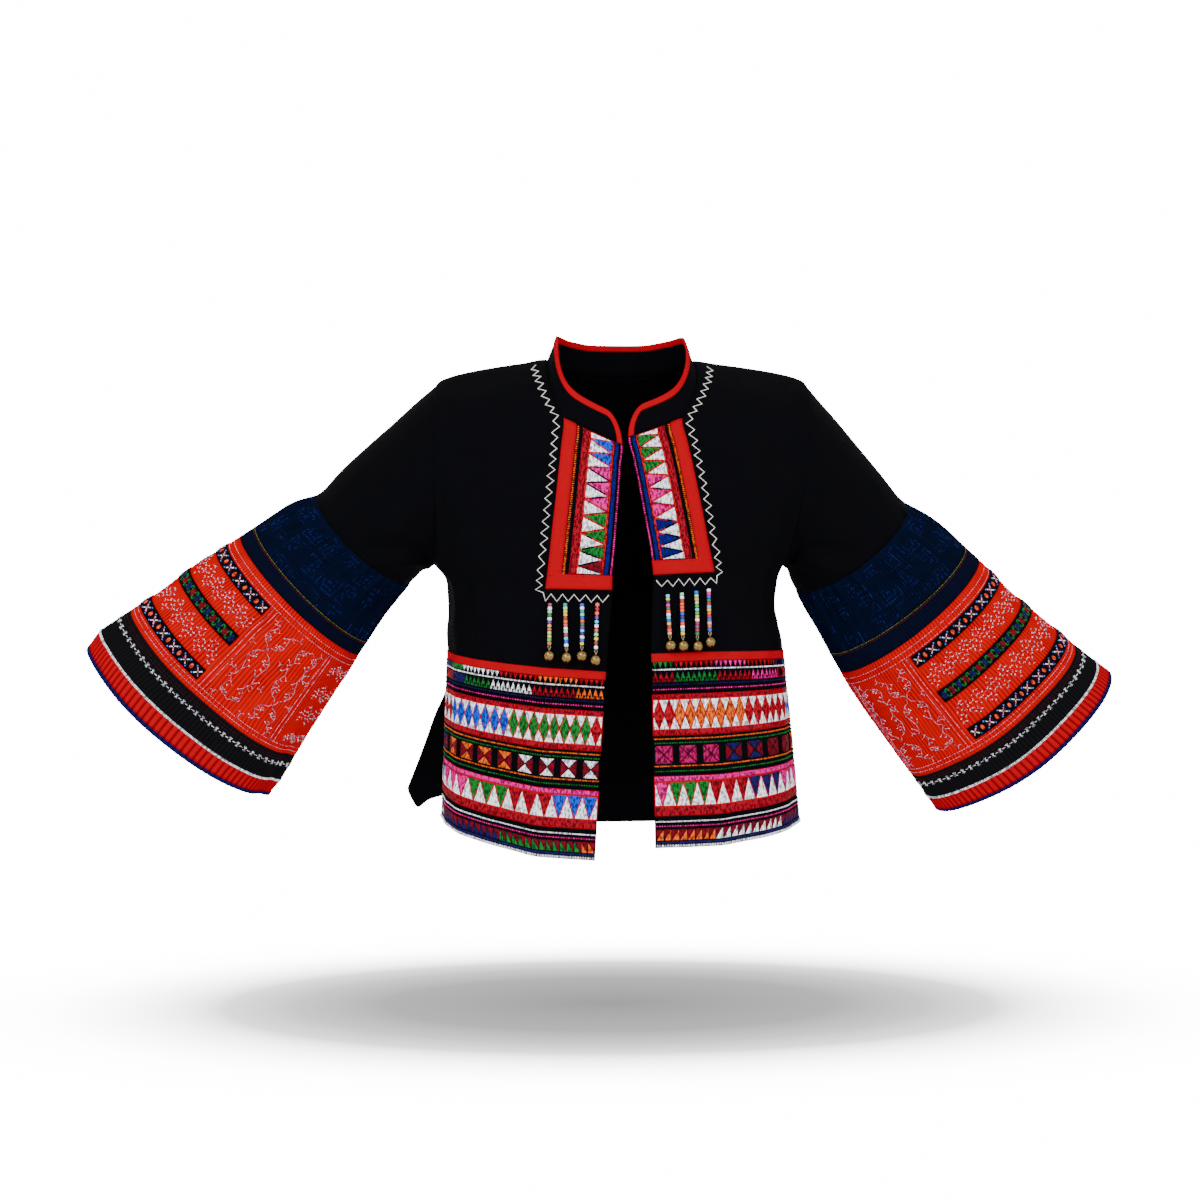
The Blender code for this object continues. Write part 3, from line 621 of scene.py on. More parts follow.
def make_mesh(node, points, faces, material, uv=None, colours=None, smooth=True, shade=None):
    mesh = bpy.data.meshes.new(node)
    mesh.from_pydata(points.tolist() if hasattr(points, "tolist") else points, [], faces)
    if uv is not None:
        layer = mesh.uv_layers.new(name="cut")
        layer.data.foreach_set("uv", np.asarray(uv, "f").ravel())
    if colours is not None:
        layer = mesh.color_attributes.new("thread", "FLOAT_COLOR", "CORNER")
        sizes = [len(f) for f in faces]
        layer.data.foreach_set("color", np.repeat(np.asarray(colours, "f"), sizes, axis=0).ravel())
    # the 'pleat' colour attribute carries painted shade, darker in the pleat grooves
    if shade is not None:
        layer = mesh.color_attributes.new("pleat", "FLOAT_COLOR", "POINT")
        grey = np.stack([shade, shade, shade, np.ones_like(shade)], axis=1)
        layer.data.foreach_set("color", grey.astype("f").ravel())
    mesh.polygons.foreach_set("use_smooth", [smooth] * len(mesh.polygons))
    mesh.materials.append(material)
    mesh.update()
    made = bpy.data.objects.new(node, mesh)
    bpy.context.scene.collection.objects.link(made)
    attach(made, "root")
    return made


def spaced(stops, counts):
    """Real numbers from stop to stop, that many steps between each pair."""
    out = [stops[0]]
    for a, b, n in zip(stops, stops[1:], counts):
        out += [a + (b - a) * i / n for i in range(1, n + 1)]
    return np.array(out, float)


def sheet_of(node, drape, rs, cs, cloth, slot, lift=0.0, wall=WALL, keep=None):
    """A closed cloth wall over part of a drape, in the place of its node."""
    rs, cs = np.asarray(rs, float), np.asarray(cs, float)
    ring = drape.wrap and abs(cs[-1] - cs[0] - drape.cols) < 1e-6
    wide = len(cs) - 1 if ring else len(cs)
    grid_r, grid_c = np.meshgrid(rs, cs[:wide], indexing="ij")
    outer, inner = drape.at(grid_r, grid_c, lift + wall), drape.at(grid_r, grid_c, lift)
    points = np.concatenate([outer.reshape(-1, 3), inner.reshape(-1, 3)])
    far = len(rs) * wide
    i, j = np.meshgrid(np.arange(len(rs) - 1), np.arange(len(cs) - 1), indexing="ij")
    mask = np.ones(i.shape, bool)
    if keep is not None:
        mask = keep((rs[i] + rs[i + 1]) / 2, (cs[j] + cs[j + 1]) / 2)
    k = (j + 1) % wide
    corner = (i * wide + j, i * wide + k, (i + 1) * wide + k, (i + 1) * wide + j)
    corner_uv = [drape.cut_uv(rs[a], cs[b]) for a, b in ((i, j), (i, j + 1), (i + 1, j + 1), (i + 1, j))]
    faces, uv = [], []

    def add(where, order, offsets, flip):
        rows = [corner[o][where] + off for o, off in zip(order, offsets)]
        uvs = [corner_uv[o][where] for o in order]
        if flip:
            rows.reverse(), uvs.reverse()
        faces.append(np.stack(rows, axis=1))
        uv.append(np.stack(uvs, axis=1))

    turned = drape.sign > 0
    add(mask, (0, 1, 2, 3), (0, 0, 0, 0), not turned)
    add(mask, (0, 1, 2, 3), (far,) * 4, turned)
    framed = np.pad(mask, 1)
    if ring:
        framed[:, 0], framed[:, -1] = framed[:, -2], framed[:, 1]
    for (di, dj), (a, b) in (((-1, 0), (0, 1)), ((0, 1), (1, 2)), ((1, 0), (2, 3)), ((0, -1), (3, 0))):
        open_edge = mask & ~framed[1 + di:framed.shape[0] - 1 + di, 1 + dj:framed.shape[1] - 1 + dj]
        add(open_edge, (b, a, a, b), (0, 0, far, far), not turned)
    faces, uv = np.concatenate(faces), np.concatenate(uv)
    used, flat = np.unique(faces, return_inverse=True)
    shade = None
    # painted shade: the points in the pleat grooves get a darker 'pleat' value
    if drape.grooves is not None:
        shade = 1 - drape.grooves(grid_r, grid_c).ravel()
        shade = np.concatenate([shade, shade])[used]
    made = make_mesh(node + "_cloth", points[used], flat.reshape(faces.shape).tolist(), CLOTH[cloth], uv, shade=shade)
    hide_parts(node)


def dome(n):
    """Faces of a low dome: a foot ring, a shoulder ring and a middle."""
    return ([[i, (i + 1) % n, n + (i + 1) % n, n + i] for i in range(n)]
            + [[n + i, n + (i + 1) % n, 2 * n] for i in range(n)])


def ridge(n):
    """Faces over n cross-sections of four points, closed at both ends."""
    end = 4 * (n - 1)
    return ([[a + k, a + k + 1, a + k + 5, a + k + 4] for a in range(0, end, 4) for k in range(3)]
            + [[3, 2, 1, 0], [end, end + 1, end + 2, end + 3]])


class Stitching:
    """Raised stitches gathered into one piece: every corner is a row, a column and a height."""

    def __init__(self, drape, base):
        self.drape, self.base = drape, base
        self.corners, self.faces, self.colours, self.shapes = [], [], [], []

    def _add(self, corners, faces, colour):
        start = len(self.corners)
        self.corners += corners
        self.faces += [[start + i for i in f] for f in faces]
        self.colours += [(*colour, 1)] * len(faces)
        self.shapes.append((len(self.faces) - len(faces), len(self.faces)))

    def plate(self, outline, colour, high=0.0005, ease=0.10):
        """A filled shape with a soft edge, which follows the cloth between its corners."""
        rim = []
        for (ra, ca), (rb, cb) in zip(outline, outline[1:] + outline[:1]):
            deep, wide = (float(self.drape._look(t, ra, ca)) for t in (self.drape.per_row, self.drape.per_col))
            parts = max(1, round(math.hypot((rb - ra) * deep, (cb - ca) * wide) / 0.005))
            rim += [(ra + (rb - ra) * k / parts, ca + (cb - ca) * k / parts) for k in range(parts)]
        n = len(rim)
        middle = (sum(p[0] for p in rim) / n, sum(p[1] for p in rim) / n)
        top = [(r + (middle[0] - r) * ease, c + (middle[1] - c) * ease, high) for r, c in rim]
        self._add([(r, c, 0.0) for r, c in rim] + top + [(*middle, high * 1.15)], dome(n), colour)

    def line(self, path, colour, width=0.0010, high=0.0006):
        """A laid thread along points (row, column)."""
        r, c = np.array(path, float).T
        place = np.arange(len(path))
        after, before = np.minimum(place + 1, place[-1]), np.maximum(place - 1, 0)
        deep, wide = self.drape._look(self.drape.per_row, r, c), self.drape._look(self.drape.per_col, r, c)
        dr, dc = (r[after] - r[before]) * deep, (c[after] - c[before]) * wide
        size = np.maximum(np.hypot(dr, dc), 1e-9)
        nr, nc = -dc / size, dr / size
        corners = []
        for i in place:
            for off, up in ((-1, 0), (-0.6, 1), (0.6, 1), (1, 0)):
                h = width / 2 * off
                corners.append((r[i] + nr[i] * h / deep[i], c[i] + nc[i] * h / wide[i], high * up))
        self._add(corners, ridge(len(path)), colour)

    def knot(self, r, c, colour, long=0.0011, wide=0.0008, high=0.0008, turn=0.0):
        """One rounded stitch."""
        corners = []
        for share, up in ((1.0, 0.0), (0.78, 0.7)):
            for i in range(6):
                a = i * math.pi / 3
                x, y = long * share * math.cos(a), wide * share * math.sin(a)
                over, down = x * math.cos(turn) - y * math.sin(turn), x * math.sin(turn) + y * math.cos(turn)
                rr, cc = self.drape.step(r, c, down, over)
                corners.append((float(rr), float(cc), high * up))
        self._add(corners + [(r, c, high)], dome(6), colour)

    def strip(self, edge_a, edge_b, colour, high=0.0005, lip=0.12):
        """A band between two lines of (row, column) points."""
        corners = [(ra + (rb - ra) * t, ca + (cb - ca) * t, high * up) for (ra, ca), (rb, cb) in zip(edge_a, edge_b)
                   for t, up in ((0, 0), (lip, 1), (1 - lip, 1), (1, 0))]
        self._add(corners, ridge(len(edge_a)), colour)

    def make(self, node, cloth="thread"):
        r, c, lift = np.array(self.corners, float).T
        points = self.drape.at(r, c, self.base + lift - 0.00015)
        normal = self.drape._look(self.drape.normal, r, c)
        faces = []
        for first, last in self.shapes:               # turn each stitch to face outwards
            shape = self.faces[first:last]
            lead = np.array([f[:3] for f in shape])
            p0, p1, p2 = (points[lead[:, i]] for i in range(3))
            facing = (np.cross(p1 - p0, p2 - p1) * normal[lead[:, 0]]).sum()
            faces += shape if facing > 0 else [f[::-1] for f in shape]
        flat = np.concatenate([np.asarray(f) for f in faces])
        make_mesh(node, points, faces, CLOTH[cloth], self.drape.cut_uv(r, c)[flat], self.colours)


# ---------------------------------------------------------------- the drapes
NECK_COL = len(BAND_COLS) - 1                 # the column of the neck band's outer edge
LAST_COL = NECK_COL + SIDE_COLS
LAST_ROW = len(ROWS) - 1


def level(p):
    return p * np.array((1, 1, 0))


def soft(x, lo, hi):
    t = np.clip((x - lo) / (hi - lo), 0, 1)
    return t * t * (3 - 2 * t)


def trough(x, at, wide):
    return np.exp(-((x - at) / wide) ** 2)


def front_creases(sign):
    """Soft folds from the armhole and slow waves in the hem."""
    def creases(r, c):
        d = -0.0030 * trough(c, 8.3 - 0.22 * (r - 9) + 0.1 * sign, 0.55) * soft(r, 4.5, 8) * (1 - soft(r, 11, 14))
        d += 0.0022 * trough(c, 9.4 - 0.18 * (r - 9), 0.50) * soft(r, 5, 8) * (1 - soft(r, 11, 14))
        d += -0.0018 * trough(r, 11.9 + 0.16 * (c - 8) + 0.2 * sign, 0.55) * soft(c, 5.5, 9)
        d += 0.0015 * trough(r, 12.8 + 0.20 * (c - 8), 0.50) * soft(c, 5.0, 9)
        d += 0.0020 * np.sin(c * 1.15 + 0.9 * sign) * soft(r, 15, 24) * (1 - soft(c, 10, 11))
        d += 0.0007 * np.sin(c * 3.1 + r * 0.4) * soft(r, 6, 12)
        return d
    return creases


def back_creases(r, c):
    d = -0.0035 * trough(c, 4.2 + 0.25 * (r - 9), 0.7) * soft(r, 3, 7) * (1 - soft(r, 11, 16))
    d += -0.0035 * trough(c, 17.8 - 0.25 * (r - 9), 0.7) * soft(r, 3, 7) * (1 - soft(r, 11, 16))
    d += 0.0030 * np.sin(c * 0.75 + 0.6) * soft(r, 9, 20) * trough(c, 11, 8)
    d += 0.0016 * np.sin(c * 1.9 + r * 0.22) * soft(r, 6, 18) * trough(c, 11, 8)
    d += -0.0020 * trough(r, 11.2 + 0.05 * (c - 11) ** 2, 0.8) * trough(c, 11, 6)
    return d * soft(r, 1.5, 5)


PLEATS = 150                                   # around a sleeve


def pleat(turn, count, sharp=1.0):
    """Round-topped pleats around a sleeve: 0 in the grooves, 1 on the ridges."""
    return np.abs(np.sin(math.pi * (turn / 20.0 * count))) ** sharp


def sleeve_folds(sign):
    """The large soft folds of a sleeve on the arm."""
    shift = 1.7 if sign > 0 else 0.4

    def folds(r, a):
        upper = 1 - soft(r, 4.2, 5.0)
        slant = a - 7.4 + 0.9 * (r - 2.5)
        d = upper * soft(r, 0.2, 1.4) * (-0.0038 * trough(slant, 0, 0.55) + 0.0028 * trough(slant, 0.95, 0.5)
                                         - 0.0026 * trough(a - 5.0 + 0.5 * (r - 2.5), 0, 0.55)
                                         - 0.0030 * trough(a - 13.2 - 0.8 * (r - 2.5), 0, 0.6))
        d += soft(r, 9, 20) * (0.0022 * np.sin(a * 0.94 + shift) + 0.0016 * np.sin(a * 1.88 + 2.2 * shift)) \
            * (1 - 0.4 * soft(r, 19, 22))
        d += -0.0045 * trough(a, 9.1, 0.5) * soft(r, 10, 16) * (0.5 - 0.5 * sign)
        return d
    return folds


def sleeve_wobble(r, a, shift):
    return 0.30 * np.sin(r * 0.9 + shift) + 0.12 * np.sin(r * 2.3 + a)


def sleeve_creases(sign):
    """The folds with the gathers and the fine pleats pressed into them."""
    folds, shift = sleeve_folds(sign), (1.7 if sign > 0 else 0.4)

    def creases(r, a):
        wobble = sleeve_wobble(r, a, shift)
        gather = soft(r, 4.6, 5.3) * (1 - soft(r, 6.2, 8.2))
        d = folds(r, a) + gather * (0.0013 * np.sin(a * 4.4 + wobble + shift) + 0.0008 * np.sin(a * 7.3 + shift)
                                    + 0.0009 * np.sin(a * 12.6 + wobble * 2))
        d += soft(r, 5.0, 5.4) * (1 - soft(r, 17.9, 18.1)) * 0.0009 * (pleat(a + wobble * 0.10, PLEATS) - 0.66)
        d += soft(r, 17.9, 18.1) * (1 - soft(r, 19.9, 20.1)) * 0.0006 * (pleat(a, PLEATS) - 0.66)
        d += soft(r, 19.95, 20.1) * 0.0010 * (pleat(a, 100, 0.7) - 0.66)
        return d
    return creases


def sleeve_groove_painted_shade(sign):
    """Painted shade in the grooves between pleats: how much darker the cloth's colour is made there."""
    shift = 1.7 if sign > 0 else 0.4

    def grooves(r, a):
        fine = (1 - pleat(a + sleeve_wobble(r, a, shift) * 0.10, PLEATS)) ** 1.6
        uneven = 0.75 + 0.25 * np.sin(a * 5.1 + r * 0.8) * np.sin(a * 1.7 + shift)
        d = soft(r, 5.0, 5.4) * (1 - soft(r, 17.9, 18.0)) * 0.84 * fine * uneven
        d += soft(r, 18.0, 18.1) * (1 - soft(r, 19.9, 20.0)) * 0.7 * (1 - pleat(a, PLEATS)) ** 1.6
        d += soft(r, 20.0, 20.05) * 0.72 * (1 - pleat(a, 100, 0.7)) ** 1.3
        return np.clip(d, 0, 0.9)
    return grooves


# the back's hem beside the right vent: how far each column is turned up
HEM_FLICK = (0.010, 0.004, -0.006, 0.006, 0.014, 0.008, 0.003)

fronts, drapes = {}, {}
for side, sign in SIDES:
    fronts[side] = front_grid(side, sign)
back_points = back_grid(fronts)
for side, sign in SIDES:
    grid = [list(line) for line in fronts[side]]
    for r in range(NECK):                      # carry the cloth on past the neck line
        for c in range(NECK_COL):
            grid[r][c] = grid[r][NECK_COL] + (grid[NECK][c] - grid[NECK][NECK_COL])
    wing = back_points[1][SIDE_COLS::-1] if side == "right" else back_points[1][SIDE_COLS + 6:]
    ghost = [grid[0][c] + (wing[0] - grid[0][NECK_COL]) for c in range(NECK_COL)] + list(wing)
    drapes["front", side] = Drape(grid, ghost=ghost, away=level, creases=front_creases(sign))
    rings = sleeve_grid(side, sign, fronts[side], back_points)
    spine = np.array([tuple(sum(ring, Vector()) / len(ring)) for ring in rings])

    def from_spine(net, spine=spine):
        i = np.linspace(0, len(spine) - 1, net.shape[0])
        line = np.stack([np.interp(i, np.arange(len(spine)), spine[:, k]) for k in range(3)], axis=1)
        return net - line[:, None, :]
    drapes["sleeve", side] = Drape(rings, wrap=True, away=from_spine, creases=sleeve_creases(sign),
                                   grooves=sleeve_groove_painted_shade(sign))
    drapes["trim", side] = copy.copy(drapes["sleeve", side])      # lies on the ridges of the pleats
    drapes["trim", side].creases = lambda r, a, folds=sleeve_folds(sign): folds(r, a) + 0.0003
    drapes["trim", side].grooves = None
ghost = [fronts["right"][1][c] for c in range(LAST_COL, NECK_COL - 1, -1)]
ghost += [Vector((x, -0.02, -0.018)) for x in (-0.05, -0.025, 0.0, 0.025, 0.05)]
ghost += [fronts["left"][1][c] for c in range(NECK_COL, LAST_COL + 1)]
for i, rise in enumerate(HEM_FLICK):
    back_points[-1][i].z += rise
    back_points[-2][i].z += rise * 0.4
drapes["back"] = Drape(back_points, ghost=ghost, away=level, creases=back_creases)


def half_neck(side):
    """Neck line of one front, from its front edge to the shoulder."""
    front = fronts[side]
    return [front[NECK][c] for c in range(NECK_COL + 1)] + [front[r][NECK_COL] for r in range(NECK - 1, -1, -1)]


neck_ring = half_neck("right") + [back_points[1][SIDE_COLS]] + back_points[2][SIDE_COLS:SIDE_COLS + 7]
neck_ring += [back_points[1][SIDE_COLS + 6]] + half_neck("left")[::-1]


class Collar:
    """A stand on the neck line; its front ends curve down to the neck point."""
    END_CURVE = 0.021

    def __init__(self, ring):
        line = np.array([tuple(p) for p in ring])
        steps = np.linalg.norm(np.diff(line, axis=0), axis=1)
        knots = np.concatenate([[0], np.cumsum(steps)])
        self.length = knots[-1]
        self.run = np.linspace(0, self.length, 451)
        self.base = np.stack([np.interp(self.run, knots, line[:, k]) for k in range(3)], axis=1)
        bell = np.exp(-(np.arange(-45, 46) / 17.0) ** 2 / 2)          # rounds the corner of the neck line
        wide = np.concatenate([self.base[:1] + (self.base[:1] - self.base[45:0:-1]), self.base,
                               self.base[-1:] + (self.base[-1:] - self.base[-2:-47:-1])])
        self.eased = np.stack([np.convolve(wide[:, k], bell / bell.sum(), "valid") for k in range(3)], axis=1)
        in_front = 1 - soft(self.base[:, 1:2], -0.045, -0.005)
        self.eased = self.eased * in_front + self.base * (1 - in_front)
        self.rises = np.array([self.rise_and_lean(y) for y in self.base[:, 1]])

    @staticmethod
    def rise_and_lean(y):
        t = (y + 0.095) / 0.15
        near, far, k = (("front", "side", max(0.0, t / 0.62)) if t < 0.62
                        else ("side", "back", min(1.0, (t - 0.62) / 0.38)))
        return [a + (b - a) * k for a, b in zip(COLLAR_RISE[near], COLLAR_RISE[far])]

    def look(self, table, s):
        return np.stack([np.interp(s, self.run, table[:, k]) for k in range(table.shape[1])], axis=-1)

    def at(self, s, h):
        """A point at a distance along the neck line and a height above it."""
        rise, lean = self.look(self.rises, s)
        share = h / rise
        foot = self.look(self.base, s) * (1 - share) + self.look(self.eased, s) * share
        out = np.array((foot[0], foot[1] + 0.018, 0))
        return foot + np.array((0, 0, h)) - out / np.linalg.norm(out) * lean * share

    def height(self, s):
        near = min(1.0, min(s, self.length - s) / self.END_CURVE)
        return self.look(self.rises, s)[0] * math.sqrt(max(0.0, 1 - (1 - near) ** 2))

    def cloth(self):
        ends = (0.0003, 0.0015, 0.004, 0.008, 0.013, 0.018)
        places = [*ends, *np.linspace(0.025, self.length - 0.025, 44), *(self.length - e for e in reversed(ends))]
        return [[self.at(s, max(0.0004, self.height(s) - 0.0008) * k) for s in places] for k in (0, 0.33, 0.67, 1.0)]

    def binding(self):
        """Foot, middle and top of the strip bound over the edge."""
        turn = [(self.END_CURVE * (1 - math.cos(a)), math.sin(a)) for a in np.linspace(0, math.pi / 2, 9)]
        edge = [(s, self.look(self.rises, s)[0] * up) for s, up in turn]
        edge += [(s, self.height(s)) for s in np.linspace(self.END_CURVE, self.length - self.END_CURVE, 52)[1:-1]]
        edge += [(self.length - s, self.look(self.rises, self.length - s)[0] * up) for s, up in reversed(turn)]
        edge = np.array(edge)
        along = np.gradient(edge, axis=0)
        along[0], along[-1] = (0, 1), (0, -1)
        along /= np.linalg.norm(along, axis=1)[:, None]
        inward = np.stack([along[:, 1], -along[:, 0]], axis=1) * BINDING
        return [[self.at(*(p + n * k)) for p, n in zip(edge, inward)] for k in (1.0, 0.5, 0.0)]


def from_neck(p):
    return level(p + np.array((0, 0.018, 0)))


collar = Collar(neck_ring)
drapes["collar"] = Drape(collar.cloth(), away=from_neck)
drapes["binding"] = Drape(collar.binding(), away=from_neck)

# ---------------------------------------------------------------- body cloth
row_steps = [4] * 4 + [5] * 11 + [2, 6, 4, 4, 4, 4, 4, 4, 5, 1]
front_rows = spaced(range(LAST_ROW + 1), row_steps[:LAST_ROW])
front_cols = spaced(range(LAST_COL + 1), [4, 4, 3] + [6] * SIDE_COLS)


def off_neck(r, c):
    return ~((r < NECK) & (c < NECK_COL))


for side, _ in SIDES:
    sheet_of("front_" + side, drapes["front", side], front_rows, front_cols, "black", "black_cloth", keep=off_neck)
back_rows = spaced(range(len(BACK_LAST)), [4] * 4 + [5] * 11 + [3, 8, 8, 8, 8, 6][:len(BACK_LAST) - 16])
back_cols = spaced(range(2 * SIDE_COLS + 7), [6] * (2 * SIDE_COLS + 6))
sheet_of("back", drapes["back"], back_rows, back_cols, "black", "black_cloth",
         keep=lambda r, c: ~((r < 2) & (c > SIDE_COLS) & (c < SIDE_COLS + 6)))
sheet_of("collar", drapes["collar"], spaced(range(4), (2, 2, 2)), np.arange(0, drapes["collar"].cols - 0.99, 0.5),
         "black", "black_cloth")
sheet_of("collar_binding", drapes["binding"], spaced(range(3), (2, 2)),
         np.arange(0, drapes["binding"].cols - 0.99, 0.5), "red", "red_cloth", lift=-0.0007, wall=0.0030)

# ---------------------------------------------------------------- waist bands
WAIST_F = [(row - 14) / 10 for row in ROWS[14:]]


def waist_row(f):
    """The row at a share of the way down the waist bands."""
    return np.interp(f, WAIST_F, range(14, LAST_ROW + 1))


class WaistLine:
    """Places across one front's waist bands, 0 at the front edge and 1 at the side."""

    def __init__(self, drape):
        step = drape.per_col[int(waist_row(0.5)) * drape.FINE, :]
        run = np.concatenate([[0], np.cumsum(step[:-1])])
        self.share, self.cols = run / run[-1], np.arange(len(run)) / drape.FINE
        self.length = run[-1] / drape.FINE

    def col(self, s):
        return np.interp(np.asarray(s) * 0.992 + 0.004, self.share, self.cols)

    def at(self, s, f):
        return float(waist_row(f)), float(self.col(s))


# ribbon, its ground, its slot, first and last row
WAIST_GROUNDS = (
    ("waist_binding", "red", "red_cloth", 14, 15), ("waist_teeth", "black", "embroidery", 15, 16),
    ("waist_diamonds", "red", "embroidery", 16, 18), ("waist_hourglass", "black", "embroidery", 18, 20),
    ("waist_triangles", "red", "embroidery", 20, 22), ("waist_small", "black", "embroidery", 22, 23),
    ("hem_cord", "black", "blue_cloth", 23, 24),
)
# bands of satin stitch: ribbon, top, bottom, colour
SATIN = (("waist_diamonds", 0.214, 0.2345, "crimson"), ("waist_diamonds", 0.398, 0.424, "crimson"),
         ("waist_triangles", 0.634, 0.658, "pink"), ("waist_triangles", 0.7915, 0.836, "crimson"),
         ("hem_cord", 0.966, 0.9800, "navy"), ("waist_diamonds", 0.2345, 0.398, "outline"))
# couched cords: ribbon, height, colour, dotted or not
CORDS = (("waist_teeth", 0.0850, "white", False), ("waist_teeth", 0.1620, "navy", True),
         ("waist_teeth", 0.1870, "pink", True), ("waist_hourglass", 0.4420, "orange", False),
         ("waist_hourglass", 0.4635, "green", True), ("waist_hourglass", 0.5820, "orange", False),
         ("waist_hourglass", 0.6080, "green", True), ("waist_small", 0.8660, "white", False),
         ("waist_small", 0.8890, "pink", True), ("hem_cord", 0.9905, "white", True))
# rows of shapes from the front edge to the side: colour and how many; a block is solid
WAIST_SHAPES = {
    "right": {
        "teeth_down": (("red", 5), ("orange", 8), ("red", 8), ("white", 9), ("green", -4), ("navy", -5)),
        "teeth_up": (("orange", 5), ("crimson", 8), ("white", 8), ("green", 6), ("navy", -4), ("crimson", -5)),
        "diamonds": (("red", 1), ("green", 8), ("blue", 7), ("red", 3)),
        "hourglasses": (("white", 4), ("orange", 4), ("navy", 1)),
        "triangles": (("blue", 3), ("crimson", 3), ("green", 3), ("pink", 3), ("navy", 1)),
        "small": (("orange", 1), ("green", 6), ("navy", 6), ("white", 1)),
    },
    "left": {
        "teeth_down": (("green", 4), ("red", 8), ("pink", 7), ("red", 8), ("navy", -6), ("green", -3)),
        "teeth_up": (("crimson", 4), ("green", 8), ("crimson", 7), ("pink", 7), ("crimson", -5), ("navy", -3)),
        "diamonds": (("red", 2), ("orange", 7), ("red", 6), ("blue", 3)),
        "hourglasses": (("magenta", 3), ("navy", 2), ("dark_red", 2), ("orange", 1)),
        "triangles": (("pink", 1), ("green", 3), ("crimson", 3), ("navy", 3), ("pink", 3), ("green", 1)),
        "small": (("orange", 4), ("white", 5), ("navy", 4)),
    },
}


def units(row):
    """Colour, start and end of each shape in a row of shapes."""
    total = sum(abs(n) for _, n in row)
    at = 0
    for colour, n in row:
        if n < 0:
            yield colour, at / total, (at - n) / total, True
            at -= n
        else:
            for _ in range(n):
                yield colour, at / total, (at + 1) / total, False
                at += 1


def tinted(colour, spread=0.10):
    """A dye a little lighter or darker, as hand-dyed thread is."""
    k = 1 + random.uniform(-spread, spread)
    return tuple(min(1.0, v * k) for v in DYE[colour])


def shrunk(points, share):
    middle = [sum(p[i] for p in points) / len(points) for i in (0, 1)]
    return [(r + (middle[0] - r) * share, c + (middle[1] - c) * share) for r, c in points]


def rope(work, path_of, start, end, length, colour, dotted, size=0.00095):
    """A couched cord: beads of thread where dotted, twisted strands where not."""
    pitch = 0.0027 if dotted else 0.0023
    count = max(2, int(length / pitch))
    for i in range(count):
        r, c = path_of(start + (end - start) * (i + 0.5) / count)
        if dotted:
            work.knot(r, c, tinted(colour), 0.00120, size, size * 1.15)
        else:
            work.knot(r, c, tinted(colour, 0.06), 0.0016, 0.00078, 0.0010, 0.42)


def patch(work, corners, dye, share, spread=0.10):
    """A filled shape drawn in a little from its corners."""
    work.plate(shrunk(corners, share), tinted(dye, spread), 0.0007)


def plain_patch(work, corners, share):
    patch(work, corners, "white", share, 0.04)


def teeth(work, at, row, top, low, tip, wide, fringed):
    """Pointed teeth, with plain blocks among them; a fringed row points up and has short forked ends."""
    for colour, a, b, solid in units(row):
        if solid:
            work.plate([at(a, top), at(b, top), at(b, low), at(a, low)], tinted(colour), 0.0005, 0.02)
            continue
        w, m = (b - a) * wide, (a + b) / 2
        if not fringed:
            work.plate([at(m - w, top), at(m + w, top), at(m, tip)], tinted(colour))
            continue
        work.plate([at(m - w, tip), at(m, top), at(m + w, tip)], tinted(colour))
        for k in (-0.30, 0.30):
            x = m + (b - a) * k
            for fork in (0.14, -0.14):
                work.line([at(x, 0.133), at(x + (b - a) * fork, 0.149)], tinted(colour), 0.0009)


def diamonds(work, at, row, top, low):
    mid = (top + low) / 2
    for colour, a, b, _ in units(row):
        m = (a + b) / 2
        patch(work, [at(m, top), at(b, mid), at(m, low), at(a, mid)], colour, 0.07)
        for end in (top, low):
            plain_patch(work, [at(m, end), at(b + (b - a) / 2, end), at(b, mid)], 0.15)
        if a == 0:
            for end in (top, low):
                plain_patch(work, [at(0, end), at(m, end), at(0, mid)], 0.15)


def hourglasses(work, at, row, top, low):
    for colour, a, b, _ in units(row):
        x0, x1 = a + (b - a) * 0.03, a + (b - a) * 0.76
        waist = at((x0 + x1) / 2, (top + low) / 2)
        flank = "magenta" if colour == "magenta" else "dark_red"
        for one, other, dye in (((x0, top), (x1, top), colour), ((x0, low), (x1, low), colour),
                                ((x0, top), (x0, low), flank), ((x1, top), (x1, low), flank)):
            patch(work, [at(*one), at(*other), waist], dye, 0.09)


def triangles(work, at, row, top, low):
    for colour, a, b, _ in units(row):
        m = (a + b) / 2
        patch(work, [at(a, top), at(b, top), at(m, low)], colour, 0.10)
        plain_patch(work, [at(m, low), at(min(1, b + (b - a) / 2), low), at(b, top)], 0.10)
        if a == 0:
            plain_patch(work, [at(0, top), at(m, low), at(0, low)], 0.12)


def small_steps(work, at, row, top, low):
    for colour, a, b, _ in units(row):
        m = (a + b) / 2
        for x0, x1 in ((a, m), (m, b)):
            work.plate(shrunk([at(x0, top), at(x1, top), at(x0, low)], 0.10), tinted("dark_red"))
            work.plate(shrunk([at(x1, top), at(x1, low), at(x0, low)], 0.10), tinted(colour))


